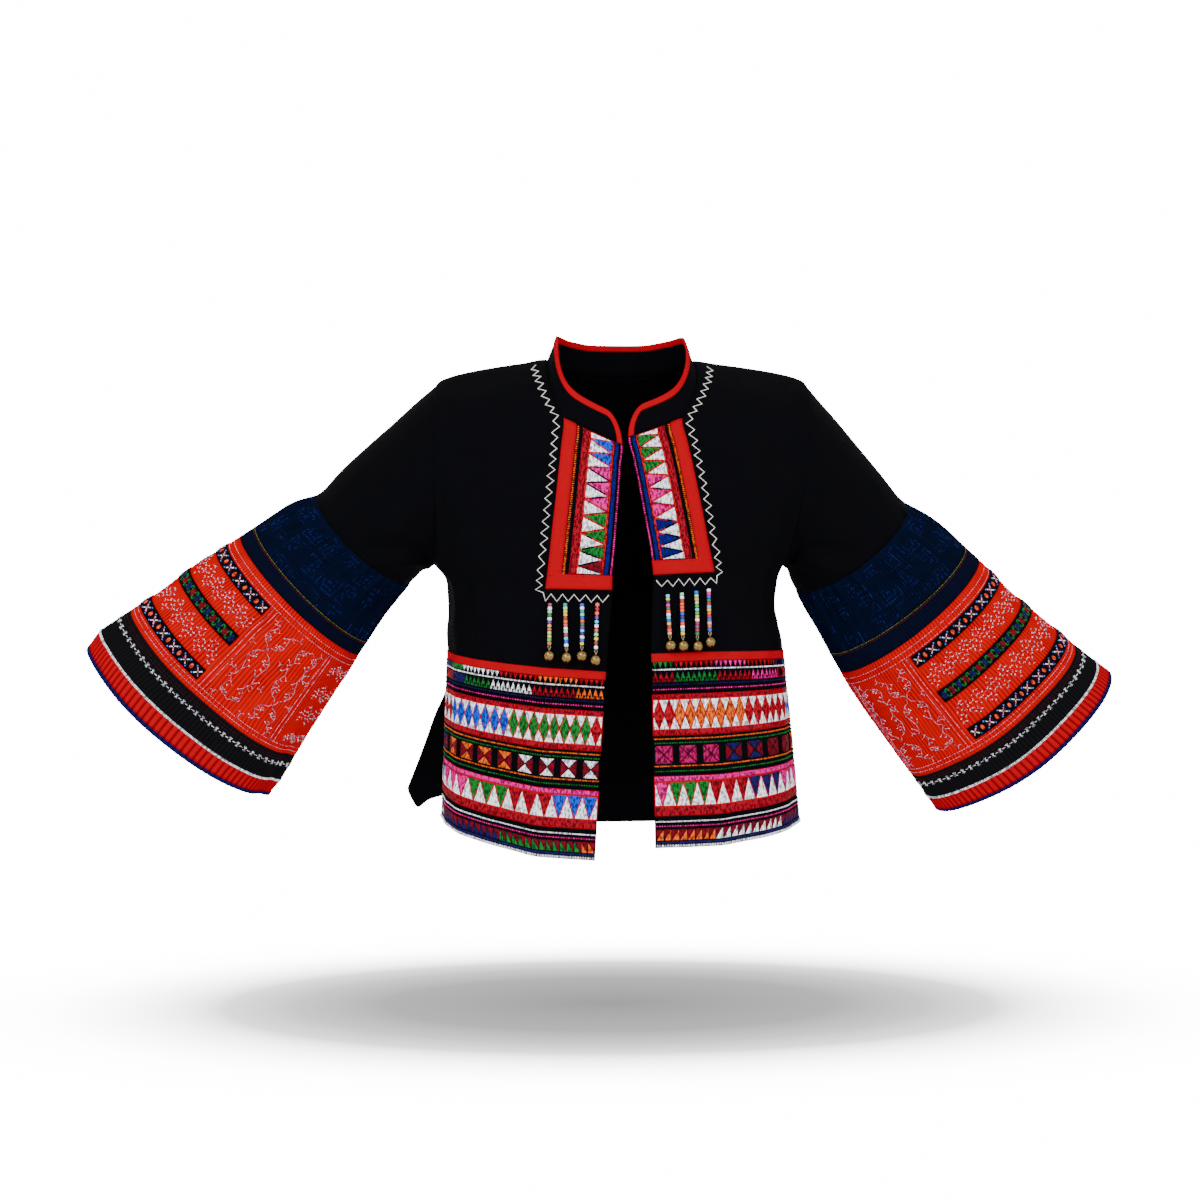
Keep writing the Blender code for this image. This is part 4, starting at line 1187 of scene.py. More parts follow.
def waist_work(side, drape, line):
    shapes, at = WAIST_SHAPES[side], line.at
    works = {name: Stitching(drape, LIFT + TRIM) for name, *_ in WAIST_GROUNDS[1:]}
    shares = np.linspace(0, 1, 41)
    for name, top, low, colour in SATIN:
        works[name].strip([at(s, top) for s in shares], [at(s, low) for s in shares], DYE[colour],
                          0.0002 if colour == "outline" else 0.0006)
    for name, f, colour, dotted in CORDS:
        rope(works[name], lambda s, f=f: at(s, f), 0.0, 1.0, line.length, colour, dotted,
             0.0017 if name == "hem_cord" else 0.00095)
    teeth(works["waist_teeth"], at, shapes["teeth_down"], 0.0465, 0.075, 0.0790, 0.40, False)
    teeth(works["waist_teeth"], at, shapes["teeth_up"], 0.0960, 0.148, 0.1320, 0.42, True)
    diamonds(works["waist_diamonds"], at, shapes["diamonds"], 0.2375, 0.3955)
    hourglasses(works["waist_hourglass"], at, shapes["hourglasses"], 0.4760, 0.5700)
    triangles(works["waist_triangles"], at, shapes["triangles"], 0.6615, 0.7890)
    small_steps(works["waist_small"], at, shapes["small"], 0.9030, 0.9640)
    return works


for side, _ in SIDES:
    drape = drapes["front", side]
    for name, ground, slot, first, last in WAIST_GROUNDS:
        rows = spaced(range(first, last + 1), [max(1, n) for n in row_steps[first:last]])
        sheet_of(name + "_" + side, drape, rows, front_cols, ground, slot, LIFT, TRIM)
    for name, work in waist_work(side, drape, WaistLine(drape)).items():
        work.make(name + "_stitches_" + side)

# ---------------------------------------------------------------- neck bands
PLACKET_WORK = {"right": (("blue", 2), ("pink", 3), ("green", 3), ("dark_red", 1)),
                "left": (("green", 3), ("pink", 3), ("navy", 3))}


PLACKET_RUN = 0.160        # metres of cord beside each placket


def band_col(w):
    """The column at a share of the neck band's width."""
    return np.interp(w, BAND_COLS, range(len(BAND_COLS)))


def placket_work(side, drape):
    work = Stitching(drape, LIFT + TRIM)
    ts = np.linspace(NECK + 0.04, BAND_END - 0.02, 25)

    def strip(w0, w1, colour, high, lip=0.12):
        work.strip([(t, band_col(w0)) for t in ts], [(t, band_col(w1)) for t in ts], DYE[colour], high, lip)

    strip(0.070, 0.130, "royal", 0.0006)
    strip(0.138, 0.572, "outline", 0.0003, 0.02)
    strip(0.572, 0.676, "crimson", 0.0006)
    for w, dye, dotted, size in ((0.022, "pink", True, 0.0011), (0.752, "orange", False, 0.00095)):
        rope(work, lambda t, w=w: (t, band_col(w)), NECK + 0.05, BAND_END, PLACKET_RUN, dye, dotted, size)
    shapes = list(units(PLACKET_WORK[side]))
    n = len(shapes)

    def t_of(k):
        k = min(max(k / n, 0), 1)
        return NECK + 0.08 + (BAND_END - NECK - 0.12) * (0.86 * k + 0.14 * k * k)

    inner, outer = band_col(0.150), band_col(0.560)
    for k, (colour, _, _, _) in enumerate(shapes):
        dye = "royal" if side == "left" and colour == "navy" else colour
        patch(work, [(t_of(k), inner), (t_of(k + 1), inner), (t_of(k + 0.5), outer)], dye, 0.15)
        plain_patch(work, [(t_of(k - 0.5), outer), (t_of(k + 0.5), outer), (t_of(k), inner)], 0.15)
    plain_patch(work, [(t_of(n - 0.5), outer), (t_of(n), outer), (t_of(n), inner)], 0.08)
    return work


def zigzag(drape, path, pitch, reach):
    """Points that swing to both sides of a path of (row, column) points."""
    places = np.array(path, float)
    real = drape.at(places[:, 0], places[:, 1])
    run = np.concatenate([[0], np.cumsum(np.linalg.norm(np.diff(real, axis=0), axis=1))])
    count = int(run[-1] / pitch) * 2
    out = []
    for i in range(count + 1):
        d = run[-1] * i / count
        r, c = (np.interp(d, run, places[:, k]) for k in (0, 1))
        ra, ca = (np.interp(min(d + 0.002, run[-1]), run, places[:, k]) for k in (0, 1))
        rb, cb = (np.interp(max(d - 0.002, 0), run, places[:, k]) for k in (0, 1))
        deep, wide = float(drape._look(drape.per_row, r, c)), float(drape._look(drape.per_col, r, c))
        dr, dc = (ra - rb) * deep, (ca - cb) * wide
        size = math.hypot(dr, dc) or 1
        swing = reach * (0.5 if i % 2 else -0.5) * random.uniform(0.85, 1.12)
        out.append((r - dc / size * swing / deep, c + dr / size * swing / wide))
    return out


# the zigzag thread outside each neck band: row and distance out from the band, in metres
ZIGZAG_OUT = ((0.55, 0.012), (1.5, 0.0095), (2.4, 0.0075), (3.4, 0.0065), (4.3, 0.0060), (6, 0.0060), (9, 0.0060),
              (11.0, 0.0060))
ZIGZAG_CORNER = ((0.0035, 0.0060), (0.0062, 0.0042), (0.0074, 0.0012))     # down and out from the border's corner
BORDER = TRIM + 0.0004                                                     # cloth of the red border
for side, _ in SIDES:
    drape = drapes["front", side]
    rows = spaced(range(NECK, BAND_END + 1), row_steps[NECK:BAND_END])
    cols = spaced(range(NECK_COL + 1), (4, 4, 3))
    sheet_of("placket_ribbon_" + side, drape, rows, cols[cols <= NECK_COL - 1], "black", "embroidery", LIFT, TRIM)
    rows = spaced(range(NECK, PLACKET_END + 1), row_steps[NECK:PLACKET_END])
    sheet_of("placket_border_" + side, drape, rows, cols, "red", "red_cloth", LIFT, BORDER,
             keep=lambda r, c: (c > NECK_COL - 1) | (r > BAND_END))
    placket_work(side, drape).make("placket_stitches_" + side)
    path = [drape.step(r, NECK_COL, 0.0, out) for r, out in ZIGZAG_OUT]
    path += [drape.step(PLACKET_END, NECK_COL, down, out) for down, out in ZIGZAG_CORNER]
    path += [(drape.step(PLACKET_END, c, 0.0075)[0], c) for c in (2.5, 2, 1.3, 0.6, 0.12)]
    thread = Stitching(drape, WALL)
    thread.line(zigzag(drape, path, 0.0120, 0.0074), DYE["ecru"], 0.0012, 0.0009)
    seam = Stitching(drape, LIFT + BORDER)
    for c in np.linspace(0.1, 2.9, 22):
        seam.knot(10.12, float(c), DYE["seam"], 0.0014, 0.0003, 0.0002)
    for r in np.linspace(4.2, 10.9, 34):
        seam.knot(float(r), 2.88, DYE["hem_seam"], 0.0003, 0.0014, 0.0002)
    thread.make("zigzag_thread_" + side, "cord")
    seam.make("placket_seam_stitches_" + side)

# ---------------------------------------------------------------- sleeves
TURN = 20                     # columns around: 0 on top, 5 in front, 10 under the arm
# piece, first and last ring, cloth, slot, rows to a ring, points around, wall, lift
SLEEVE_PIECES = (
    ("sleeve_upper", 0, 5, "black", "black_cloth", 6, 160, WALL, 0.0),
    ("sleeve_batik", 5, 8, "batik", "indigo_cloth", 5, 600, WALL, 0.0),
    ("sleeve_strip", 8, 9, "night", "indigo_cloth", 4, 600, WALL, 0.0),
    ("sleeve_flare", 9, 18, "scarlet", "red_cloth", 3, 600, WALL, 0.0),
    ("cuff_band", 18, 20, "ribbed_black", "black_cloth", 5, 600, WALL, 0.0),
    ("cuff_border", 20, 21, "ribbed_red", "red_cloth", 5, 600, WALL, 0.0),
    ("cuff_piping", 21, 22, "royal", "blue_cloth", 3, 300, 0.0024, -0.0004),
)
RIBBON_LIFT = WALL + 0.0002
RIBBON_ENDS = {"right": (-5.0, 4.55), "left": (-5.0, 6.15)}     # columns, back and front
RIBBON_POINTS = {"right": 115, "left": 135}
PANEL_TURN = {"right": 0.0, "left": 1.6}     # columns that the tendril panel is turned under the arm


def evenly(drape, r, first, last):
    """The run between two columns in metres, and the column at any distance along it."""
    cols = np.linspace(first, last, 240)
    step = drape._look(drape.per_col, r, (cols[1:] + cols[:-1]) / 2) * np.diff(cols)
    run = np.concatenate([[0], np.cumsum(step)])
    return run[-1], lambda d: float(np.interp(d, run, cols))


def running(work, spots, colour, stitch=0.62, width=0.0007, high=0.0005):
    """A row of running stitches through (row, column) spots, one stitch to a gap."""
    for (ra, ca), (rb, cb) in zip(spots, spots[1:]):
        work.line([(ra, ca), (ra + (rb - ra) * stitch, ca + (cb - ca) * stitch)], tinted(colour), width, high)


def ring_spots(drape, r, pitch):
    length, col = evenly(drape, r, 0, TURN)
    n = int(length / pitch)
    return [(r, col(length * i / n)) for i in range(n + 1)]


def placed(drape, r, c, shape, size=0.001, turn=0.0):
    """Places of a small drawing's (across, along) points, in millimetres, about a row and column."""
    cos, sin = math.cos(turn) * size, math.sin(turn) * size
    steps = [drape.step(r, c, x * sin + y * cos, x * cos - y * sin) for x, y in shape]
    return [(float(row), float(column)) for row, column in steps]


def lattice_ribbon(work, drape, row, first, last):
    """Crosses of white and pink between orange ovals, with pale blue corners."""
    middle = row + 0.5
    length, col = evenly(drape, middle, first, last)
    cells = 2 * round(length / 0.0205) + 1
    wide = length / cells
    oval = [(2.2 * math.cos(a * math.pi / 5), 3.5 * math.sin(a * math.pi / 5)) for a in range(10)]
    for i in range(cells):
        c = col(wide * (i + 0.5))
        if i % 2:
            work.plate(placed(drape, middle, c, oval), tinted("coral"), 0.0009, 0.3)
            work.plate(placed(drape, middle, c, [(x * 0.5, y * 0.6) for x, y in oval]), tinted("orange"), 0.0012, 0.3)
        else:
            for x, y in ((3.2, 3.7), (-3.2, 3.7), (3.2, -3.7), (-3.2, -3.7)):
                dye = "white" if (x > 0) != (y > 0) else "pale_pink"
                arm = [(x * 0.16 - y * 0.10, y * 0.16 + x * 0.10), (x - y * 0.16, y + x * 0.12),
                       (x * 1.05 + y * 0.16, y * 1.05 - x * 0.12), (x * 0.16 + y * 0.10, y * 0.16 - x * 0.10)]
                work.plate(placed(drape, middle, c, arm), tinted(dye), 0.0007, 0.15)
            for x in (-3.5, 3.5):
                work.knot(*placed(drape, middle, c, [(x, 0)])[0], tinted("crimson"), 0.0008, 0.0007, 0.0006)
        c = col(wide * i)
        for y in (-5.0, 5.0):
            for share, dye, size in ((1, "sky", (0.0012, 0.0010, 0.0009)), (0.55, "navy", (0.0010, 0.0009, 0.0007))):
                work.knot(*placed(drape, middle, c, [(0, y * share)])[0], tinted(dye), *size)


def stepped_ribbon(work, drape, row, first, last):
    """Stepped crosses of navy and dark red, with green squares between."""
    middle = row + 0.5
    length, col = evenly(drape, middle, first, last)
    cells = round(length / 0.0098)
    wide = length / cells

    def block(c, dye, x, y, w, h, high, ease):
        corners = [(x - w / 2, y - h / 2), (x + w / 2, y - h / 2), (x + w / 2, y + h / 2), (x - w / 2, y + h / 2)]
        work.plate(placed(drape, middle, c, corners), tinted(dye), high, ease)

    for i in range(cells):
        c, dye = col(wide * (i + 0.5)), ("navy", "dark_red")[i % 2]
        for y, w, h, high in ((0, 2.6, 9.6, 0.0006), (0, 7.2, 3.0, 0.0007), (-3.0, 4.8, 1.8, 0.00065),
                              (3.0, 4.8, 1.8, 0.00065)):
            block(c, dye, 0, y, w, h, high, 0.06)
        c = col(wide * (i or 0.12))
        for x, y, w, h in ((0, -4.7, 4.0, 1.8), (0, 4.7, 4.0, 1.8), (-1.7, -2.6, 1.8, 1.9), (1.7, -2.6, 1.8, 1.9),
                           (-1.7, 2.6, 1.8, 1.9), (1.7, 2.6, 1.8, 1.9)):
            block(c, "green", x, y, w, h, 0.0006, 0.1)


def footprints(work, drape, low_row, high_row, first, last, pitch=0.0036):
    """Zigzags of little hooked stitches between two rows."""
    middle = (low_row + high_row) / 2
    length, col = evenly(drape, middle, first, last)
    swing, period = (high_row - low_row) / 2, 0.0205
    for i in range(int(length / pitch)):
        for k in (-1, 0, 1):
            d = (i + 0.5 + k / 3) * pitch
            wave = 4 * abs((d / period) % 1 - 0.5) - 1
            r = middle + swing * (0.42 * wave + 0.46 * k) + random.uniform(-0.04, 0.04)
            lean = (0.6 if i % 2 else -0.6) + (math.pi if k > 0 else 0) + random.uniform(-0.25, 0.25)
            hook = placed(drape, r, col(d), ((-1.1, -1.0), (-0.9, 0.3), (0.1, 0.9), (1.0, 0.5)), turn=lean)
            work.line(hook, tinted("tendril", 0.2), 0.0006, 0.0005)
            work.knot(*hook[-1], tinted("white", 0.1), 0.0007, 0.0006, 0.0006)


# one half of a heart-shaped tendril, and its hooks: place on the stem and reach, in millimetres
TENDRIL = ((0.3, 11.0), (1.8, 8.4), (5.0, 7.6), (8.0, 5.2), (8.8, 1.4), (7.4, -2.6), (5.8, -6.6), (6.8, -10.2),
           (9.6, -11.4))
HOOKS = ((2, 0.4, -2.8, -1.6), (3, -2.4, -1.8, -2.6), (4, -3.0, 0.6, -1.0), (5, -2.8, 0.4, 0.9), (6, -2.4, 2.0, -0.6),
         (7, 2.4, 2.2, 1.2))
# row, column, turn and size of each pair of tendrils on the lower front of the flare
TENDRIL_PLACES = ((11.45, 5.58, 0.1, 1.45), (11.45, 6.92, 3.2, 1.40), (13.65, 5.58, 3.1, 1.50),
                  (13.65, 6.92, -0.05, 1.45), (15.85, 5.58, -0.1, 1.50), (15.85, 6.92, 3.1, 1.45))
SPRIG = (((0, -4.2), (0.4, -1.8), (0, 0), (-2.2, 2.4), (-3.6, 1.6)), ((0, 0), (2.2, 2.4), (3.6, 1.6)))
# row, column and turn of the forked sprigs between the tendrils
SPRIG_PLACES = ((10.35, 6.25, 0.0), (12.55, 6.25, 3.1), (14.75, 6.25, 0.1), (16.9, 6.25, 3.1), (10.4, 5.15, 0.5),
                (16.9, 5.15, 2.7), (10.4, 7.35, -0.5), (16.9, 7.35, -2.7), (12.55, 5.02, 1.5), (14.75, 5.02, 1.6),
                (12.55, 7.5, -1.5), (14.75, 7.5, -1.6))


def tendril(work, drape, r, c, turn, size=0.001):
    """A pair of scrolled stems with small hooks, in fine white stitches."""
    for side in (-1, 1):
        stem = [(x * side, y) for x, y in TENDRIL]
        spots = placed(drape, r, c, stem, size, turn)
        fine = [spots[0]]
        for a, b in zip(spots, spots[1:]):
            fine += [((a[0] + b[0]) / 2, (a[1] + b[1]) / 2), b]
        running(work, fine, "tendril", 0.86, 0.0006, 0.0005)
        for at, x, y, bend in HOOKS:
            x0, y0 = TENDRIL[at]
            hook = [(x0 * side, y0), ((x0 + x * 0.6 - y * 0.15) * side, y0 + y * 0.6), ((x0 + x) * side, y0 + y),
                    ((x0 + x + bend) * side, y0 + y + 0.6)]
            hook = placed(drape, r, c, hook, size, turn)
            work.line(hook, tinted("tendril", 0.12), 0.0006, 0.0005)
            work.knot(*hook[-1], tinted("white", 0.1), 0.0006, 0.0006, 0.0006)


def star_row(work, drape, r):
    """White crossed stitches joined by short bars."""
    length, col = evenly(drape, r, 0, TURN)
    n = round(length / 0.0094)
    for i in range(n):
        c, lean = col(length * (i + 0.5) / n), random.uniform(-0.2, 0.2)
        for turn in (0.95, -0.95, 1.57):
            reach = random.uniform(2.5, 3.2)
            work.line(placed(drape, r, c, ((-reach, 0), (0, random.uniform(-0.2, 0.2)), (reach, 0)), turn=turn + lean),
                      tinted("star_white", 0.12), 0.0006, 0.0007)
        work.line(placed(drape, r, c, ((2.9, 0.1), (6.5, -0.1))), tinted("star_white", 0.2), 0.0008, 0.0005)


def sleeve_embroidery(drape, side):
    """Stitches that follow the ridges of one sleeve, by piece."""
    turned = PANEL_TURN[side]
    works = {name: Stitching(drape, WALL) for name in ("flare", "cuff", "strip")}
    work = works["flare"]
    for r in (9.42, 9.80, 17.32, 17.66):
        running(work, ring_spots(drape, r, 0.0030), "pale_pink")
    for c in (4.72, 4.89, 7.62, 7.79):
        running(work, [(r, c + turned) for r in np.linspace(9.9, 17.3, 40)], "pale_pink", 0.8, 0.0006)
    for low, high in ((11.25, 12.75), (14.25, 15.75)):
        footprints(work, drape, low, high, *RIBBON_ENDS[side])
    for low, high in ((10.1, 11.6), (12.0, 13.5), (13.9, 15.4), (15.8, 17.1)):
        footprints(work, drape, low, high, 8.1 + turned, 13.0)
    for r, c, turn, size in TENDRIL_PLACES:
        tendril(work, drape, r, c + turned, turn, size * 0.001)
    for r, c, turn in SPRIG_PLACES:
        for stem in SPRIG:
            work.line(placed(drape, r, c + turned, stem, turn=turn), tinted("tendril"), 0.0006, 0.0005)
    work = works["cuff"]
    for r in (18.26, 18.42):
        running(work, ring_spots(drape, r, 0.0032), "maroon", 0.9, 0.0005, 0.0003)
    star_row(work, drape, 18.74)
    length, col = evenly(drape, 20.0, 0, TURN)
    n = int(length / 0.0021)
    for i in range(n):
        for off, lean in ((-0.0006, 0.7), (0.0006, -0.7)):
            r, c = drape.step(20.0, col(length * i / n), off)
            work.knot(float(r), float(c), tinted("white", 0.06), 0.0012, 0.0007, 0.0011, lean)
    work = works["strip"]
    for r, dye in ((7.97, "lime"), (8.05, "dark_red")):
        running(work, ring_spots(drape, r, 0.0028), dye, 0.75, 0.0006, 0.0004)
    return works


for side, sign in SIDES:
    drape, flat = drapes["sleeve", side], drapes["trim", side]
    for name, first, last, cloth, slot, per_ring, count, wall, lift in SLEEVE_PIECES:
        rows = spaced(range(first, last + 1), [per_ring] * (last - first))
        sheet_of(name + "_" + side, drape, rows, np.linspace(0, TURN, count + 1), cloth, slot, lift, wall)
    for name, work in sleeve_embroidery(flat, side).items():
        work.make("%s_stitches_%s" % (name, side))
    for number, first, last, kind in FLARE_RIBBONS:
        node = "flare_ribbon_%s_%d" % (side, number)
        rows, cols = spaced((first - 0.09, last + 0.09), (4,)), np.linspace(*RIBBON_ENDS[side], RIBBON_POINTS[side])
        sheet_of(node, flat, rows, cols, "black", "embroidery", RIBBON_LIFT, TRIM)
        work = Stitching(flat, RIBBON_LIFT + TRIM)
        (stepped_ribbon if kind == "green" else lattice_ribbon)(work, flat, first, *RIBBON_ENDS[side])
        work.make(node + "_stitches")

# ---------------------------------------------------------------- strings of beads
BEAD_HIGH = 0.0034
THREAD = 0.0006
LOOP_HIGH = 0.0050
STRAND_BEADS = {
    "right": (
        "magenta white mint green white purple peach orange mint yellow grass orange",
        "teal mint yellow yellow red orange coral white mint magenta aqua blue white",
        "blue white teal mint blue orange green purple aqua navy white blue yellow",
        "coral red coral purple aqua white coral mint yellow red white"),
    "left": (
        "aqua yellow navy pink green coral white aqua blue yellow red coral peach",
        "mint white red orange coral orange blue navy blue coral white aqua yellow",
        "blue mint peach mint grass aqua grass yellow white red purple red green",
        "white pink blue green crimson aqua yellow orange magenta blue peach coral blue"),
}


def begin(add, **settings):
    """Adds a primitive with nothing else selected, open in edit mode."""
    if bpy.context.object and bpy.context.object.mode != "OBJECT":
        bpy.ops.object.mode_set(mode="OBJECT")
    bpy.ops.object.select_all(action="DESELECT")
    add(**settings)
    bpy.ops.object.mode_set(mode="EDIT")
    bpy.ops.mesh.select_mode(type="FACE")
    return bpy.context.object


def pick(made, wanted):
    """Selects in edit mode the faces whose centre and normal pass a test."""
    mesh = bmesh.from_edit_mesh(made.data)
    for face in mesh.faces:
        face.select_set(bool(wanted(face.calc_center_median(), face.normal)))
    mesh.select_flush_mode()
    bmesh.update_edit_mesh(made.data)


def pick_edges(made, wanted):
    bpy.ops.mesh.select_mode(type="EDGE")
    mesh = bmesh.from_edit_mesh(made.data)
    for edge in mesh.edges:
        edge.select_set(bool(wanted(edge)))
    bmesh.update_edit_mesh(made.data)


def only(parts):
    """Selects some objects and nothing else."""
    bpy.ops.object.select_all(action="DESELECT")
    for part in parts:
        part.select_set(True)
    bpy.context.view_layer.objects.active = parts[0]


def outward():
    bpy.ops.mesh.select_all(action="SELECT")
    bpy.ops.mesh.normals_make_consistent(inside=False)
    bpy.ops.object.mode_set(mode="OBJECT")


def end(made, name, material):
    outward()
    bpy.ops.object.transform_apply(location=True, rotation=True, scale=True)
    bpy.ops.object.shade_smooth_by_angle(angle=math.radians(50))
    made.name = made.data.name = name
    made.data.materials.clear()
    made.data.materials.append(material)
    return made


def seed_bead():
    """A seed bead: a short round-shouldered drum with a dimpled hole at each end."""
    made = begin(bpy.ops.mesh.primitive_cylinder_add, vertices=10, radius=BEAD_R, depth=BEAD_HIGH)
    pick(made, lambda centre, normal: abs(normal.z) > 0.9)
    bpy.ops.mesh.inset(thickness=0.0013, use_individual=True)
    bpy.ops.mesh.extrude_faces_move(TRANSFORM_OT_shrink_fatten={"value": -0.0006})
    pick_edges(made, lambda edge: all(abs(abs(v.co.z) - BEAD_HIGH / 2) < 1e-5 and v.co.xy.length > BEAD_R * 0.9
                                      for v in edge.verts))
    bpy.ops.mesh.bevel(offset=0.0009, segments=2, profile=0.6)
    return end(made, "seed_bead", BEADS)


def jingle_bell():
    """A small round bell: a belt round the middle, a slot below, a neck and a ring above."""
    r = BELL_R
    made = begin(bpy.ops.mesh.primitive_uv_sphere_add, segments=24, ring_count=15, radius=r)
    pick(made, lambda centre, normal: abs(centre.z) < r * 0.05)
    bpy.ops.mesh.extrude_region_shrink_fatten(TRANSFORM_OT_shrink_fatten={"value": 0.00035})
    pick(made, lambda centre, normal: centre.z < -r * 0.30 and abs(centre.x) < r * 0.10)
    bpy.ops.mesh.delete(type="FACE")
    bpy.ops.object.mode_set(mode="OBJECT")
    wall = made.modifiers.new("wall", "SOLIDIFY")
    wall.thickness, wall.offset = 0.0005, -1
    bpy.ops.object.modifier_apply(modifier="wall")
    bpy.ops.object.mode_set(mode="EDIT")
    shell = end(made, "bell_shell", BRASS)
    neck = begin(bpy.ops.mesh.primitive_cylinder_add, vertices=12, radius=0.0013, depth=0.0012,
                 location=(0, 0, r + 0.0003))
    pick(neck, lambda centre, normal: normal.z > 0.9)
    bpy.ops.mesh.inset(thickness=0.0004)
    bpy.ops.mesh.extrude_region_move(TRANSFORM_OT_translate={"value": (0, 0, 0.0005)})
    neck = end(neck, "bell_neck", BRASS)
    ring = wire_ring("bell_ring", 0.0015, 0.00035, (0, 0, r + 0.0026), BRASS, math.pi / 2)
    return joined("jingle_bell", [shell, neck, ring])


def wire_ring(name, radius, thick, place, material, turn=0.0, tall=1.0):
    """A ring of round wire standing upright, its ends just overlapping."""
    made = begin(bpy.ops.mesh.primitive_torus_add, major_radius=radius, minor_radius=thick, major_segments=20,
                 minor_segments=8, location=place, rotation=(math.pi / 2, 0, turn))
    pick(made, lambda centre, normal: centre.x > radius * 0.80 and abs(centre.y) < radius * 0.22)
    bpy.ops.mesh.extrude_region_shrink_fatten(TRANSFORM_OT_shrink_fatten={"value": 0.00012})
    bpy.ops.object.mode_set(mode="OBJECT")
    made.scale[1] = tall
    bpy.ops.object.mode_set(mode="EDIT")
    return end(made, name, material)


def joined(name, parts):
    only(parts)
    bpy.ops.object.join()
    made = bpy.context.object
    made.name = made.data.name = name
    return made


def copied(model, name, place, turn, colour=None):
    """A copy with its own mesh, set at a place and turned."""
    made = bpy.data.objects.new(name, model.data.copy())
    bpy.context.scene.collection.objects.link(made)
    if colour is not None:
        layer = made.data.color_attributes.new("thread", "FLOAT_COLOR", "CORNER")
        layer.data.foreach_set("color", np.tile((*colour, 1), len(layer.data)).astype("f"))
    made.data.transform(turn.to_matrix().to_4x4())
    made.data.transform(Matrix.Translation(place))
    return made


def cloth_front(side, x, z):
    """The foremost Y of the front's cloth at a place seen from the front."""
    drape = drapes["front", side]
    r, c = np.meshgrid(np.linspace(8, 18, 101), np.linspace(0, 6, 61), indexing="ij")
    net = drape.at(r, c, WALL)
    near = np.argsort(((net[..., 0] - x) ** 2 + (net[..., 2] - z) ** 2).ravel())[:6]
    return float(net[..., 1].ravel()[near].min())


def strand(side, sign, number, bead_model, bell_model, loop_model):
    """One thread of beads with its bell, hanging just in front of the cloth."""
    top_x, top_z, bell_x, bell_z = STRANDS[side][number - 1]
    name = "_%s_%d" % (side, number)
    top, bell = (Vector((sign * x, cloth_front(side, sign * x, -z) - radius - gap, -z))
                 for x, z, radius, gap in ((top_x, top_z, BEAD_R, 0.0004), (bell_x, bell_z, BELL_R, 0.0006)))
    way = (bell - top).normalized()
    turn = Vector((0, 0, -1)).rotation_difference(way)
    tail = bell - way * (BELL_R + LOOP_HIGH)
    length = (tail - top).length
    sway = Vector((0.0004 * math.cos(number * 2.1), 0, 0))
    route = [top + (tail - top) * t + sway * math.sin(math.pi * t) for t in np.linspace(0, 1, 15)]
    thread = thread_tube("bead_thread" + name, route)
    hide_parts("bead_strand" + name)
    colours = STRAND_BEADS[side][number - 1].split()
    pitch = length / len(colours)
    beads = []
    for i, dye in enumerate(colours):
        t = (i + 0.5) / len(colours)
        place = top + (tail - top) * t + sway * math.sin(math.pi * t)
        lean = Quaternion((random.uniform(-1, 1), random.uniform(-1, 1), 0.001), random.uniform(0, 0.09))
        size = random.uniform(0.93, 1.04)
        bead = copied(bead_model, "bead", (0, 0, 0), Quaternion(), tinted(dye))
        bead.data.transform(Matrix.Diagonal((size, size, min(size, pitch / BEAD_HIGH), 1)))
        bead.data.transform((turn @ lean).to_matrix().to_4x4())
        bead.data.transform(Matrix.Translation(place))
        beads.append(bead)
    string = joined("beads" + name, beads)
    loop = copied(loop_model, "bell_loop" + name, tail + way * (LOOP_HIGH * 0.40), turn)
    spin = Quaternion((0, 0, 1), random.uniform(-0.5, 0.5))
    ball = copied(bell_model, "jingle_bell" + name, bell, turn @ spin)
    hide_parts("bell" + name)
    for piece, slot in ((thread, "embroidery"), (string, "beads"), (loop, "brass"), (ball, "brass")):
        if piece is not thread:
            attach(piece, "root")
    tuple(route[0])
    [tuple(p) for p in route]


def thread_tube(name, route):
    """A thread with closed ends along a route."""
    along = (route[-1] - route[0]).normalized()
    across = along.cross(Vector((0, 1, 0))).normalized()
    out = along.cross(across)
    points = [tuple(place + (across * math.cos(i * math.pi / 3) + out * math.sin(i * math.pi / 3)) * THREAD / 2)
              for place in route for i in range(6)]
    last = 6 * (len(route) - 1)
    faces = [[k + i, k + (i + 1) % 6, k + 6 + (i + 1) % 6, k + 6 + i] for k in range(0, last, 6) for i in range(6)]
    faces += [[5, 4, 3, 2, 1, 0], [last + i for i in range(6)]]
    uv = [(0.0, 0.0)] * sum(len(f) for f in faces)
    made = make_mesh(name, points, faces, CLOTH["cord"], uv, [(*DYE["white"], 1)] * len(faces))
    only([made])
    bpy.ops.object.mode_set(mode="EDIT")
    outward()
    return made


models = seed_bead(), jingle_bell(), wire_ring("loop", 0.0016, 0.0003, (0, 0, 0), SILVER, 0.4, 1.35)
for side, sign in SIDES:
    for number in range(1, 5):
        strand(side, sign, number, *models)
for model in models:
    bpy.data.objects.remove(model)


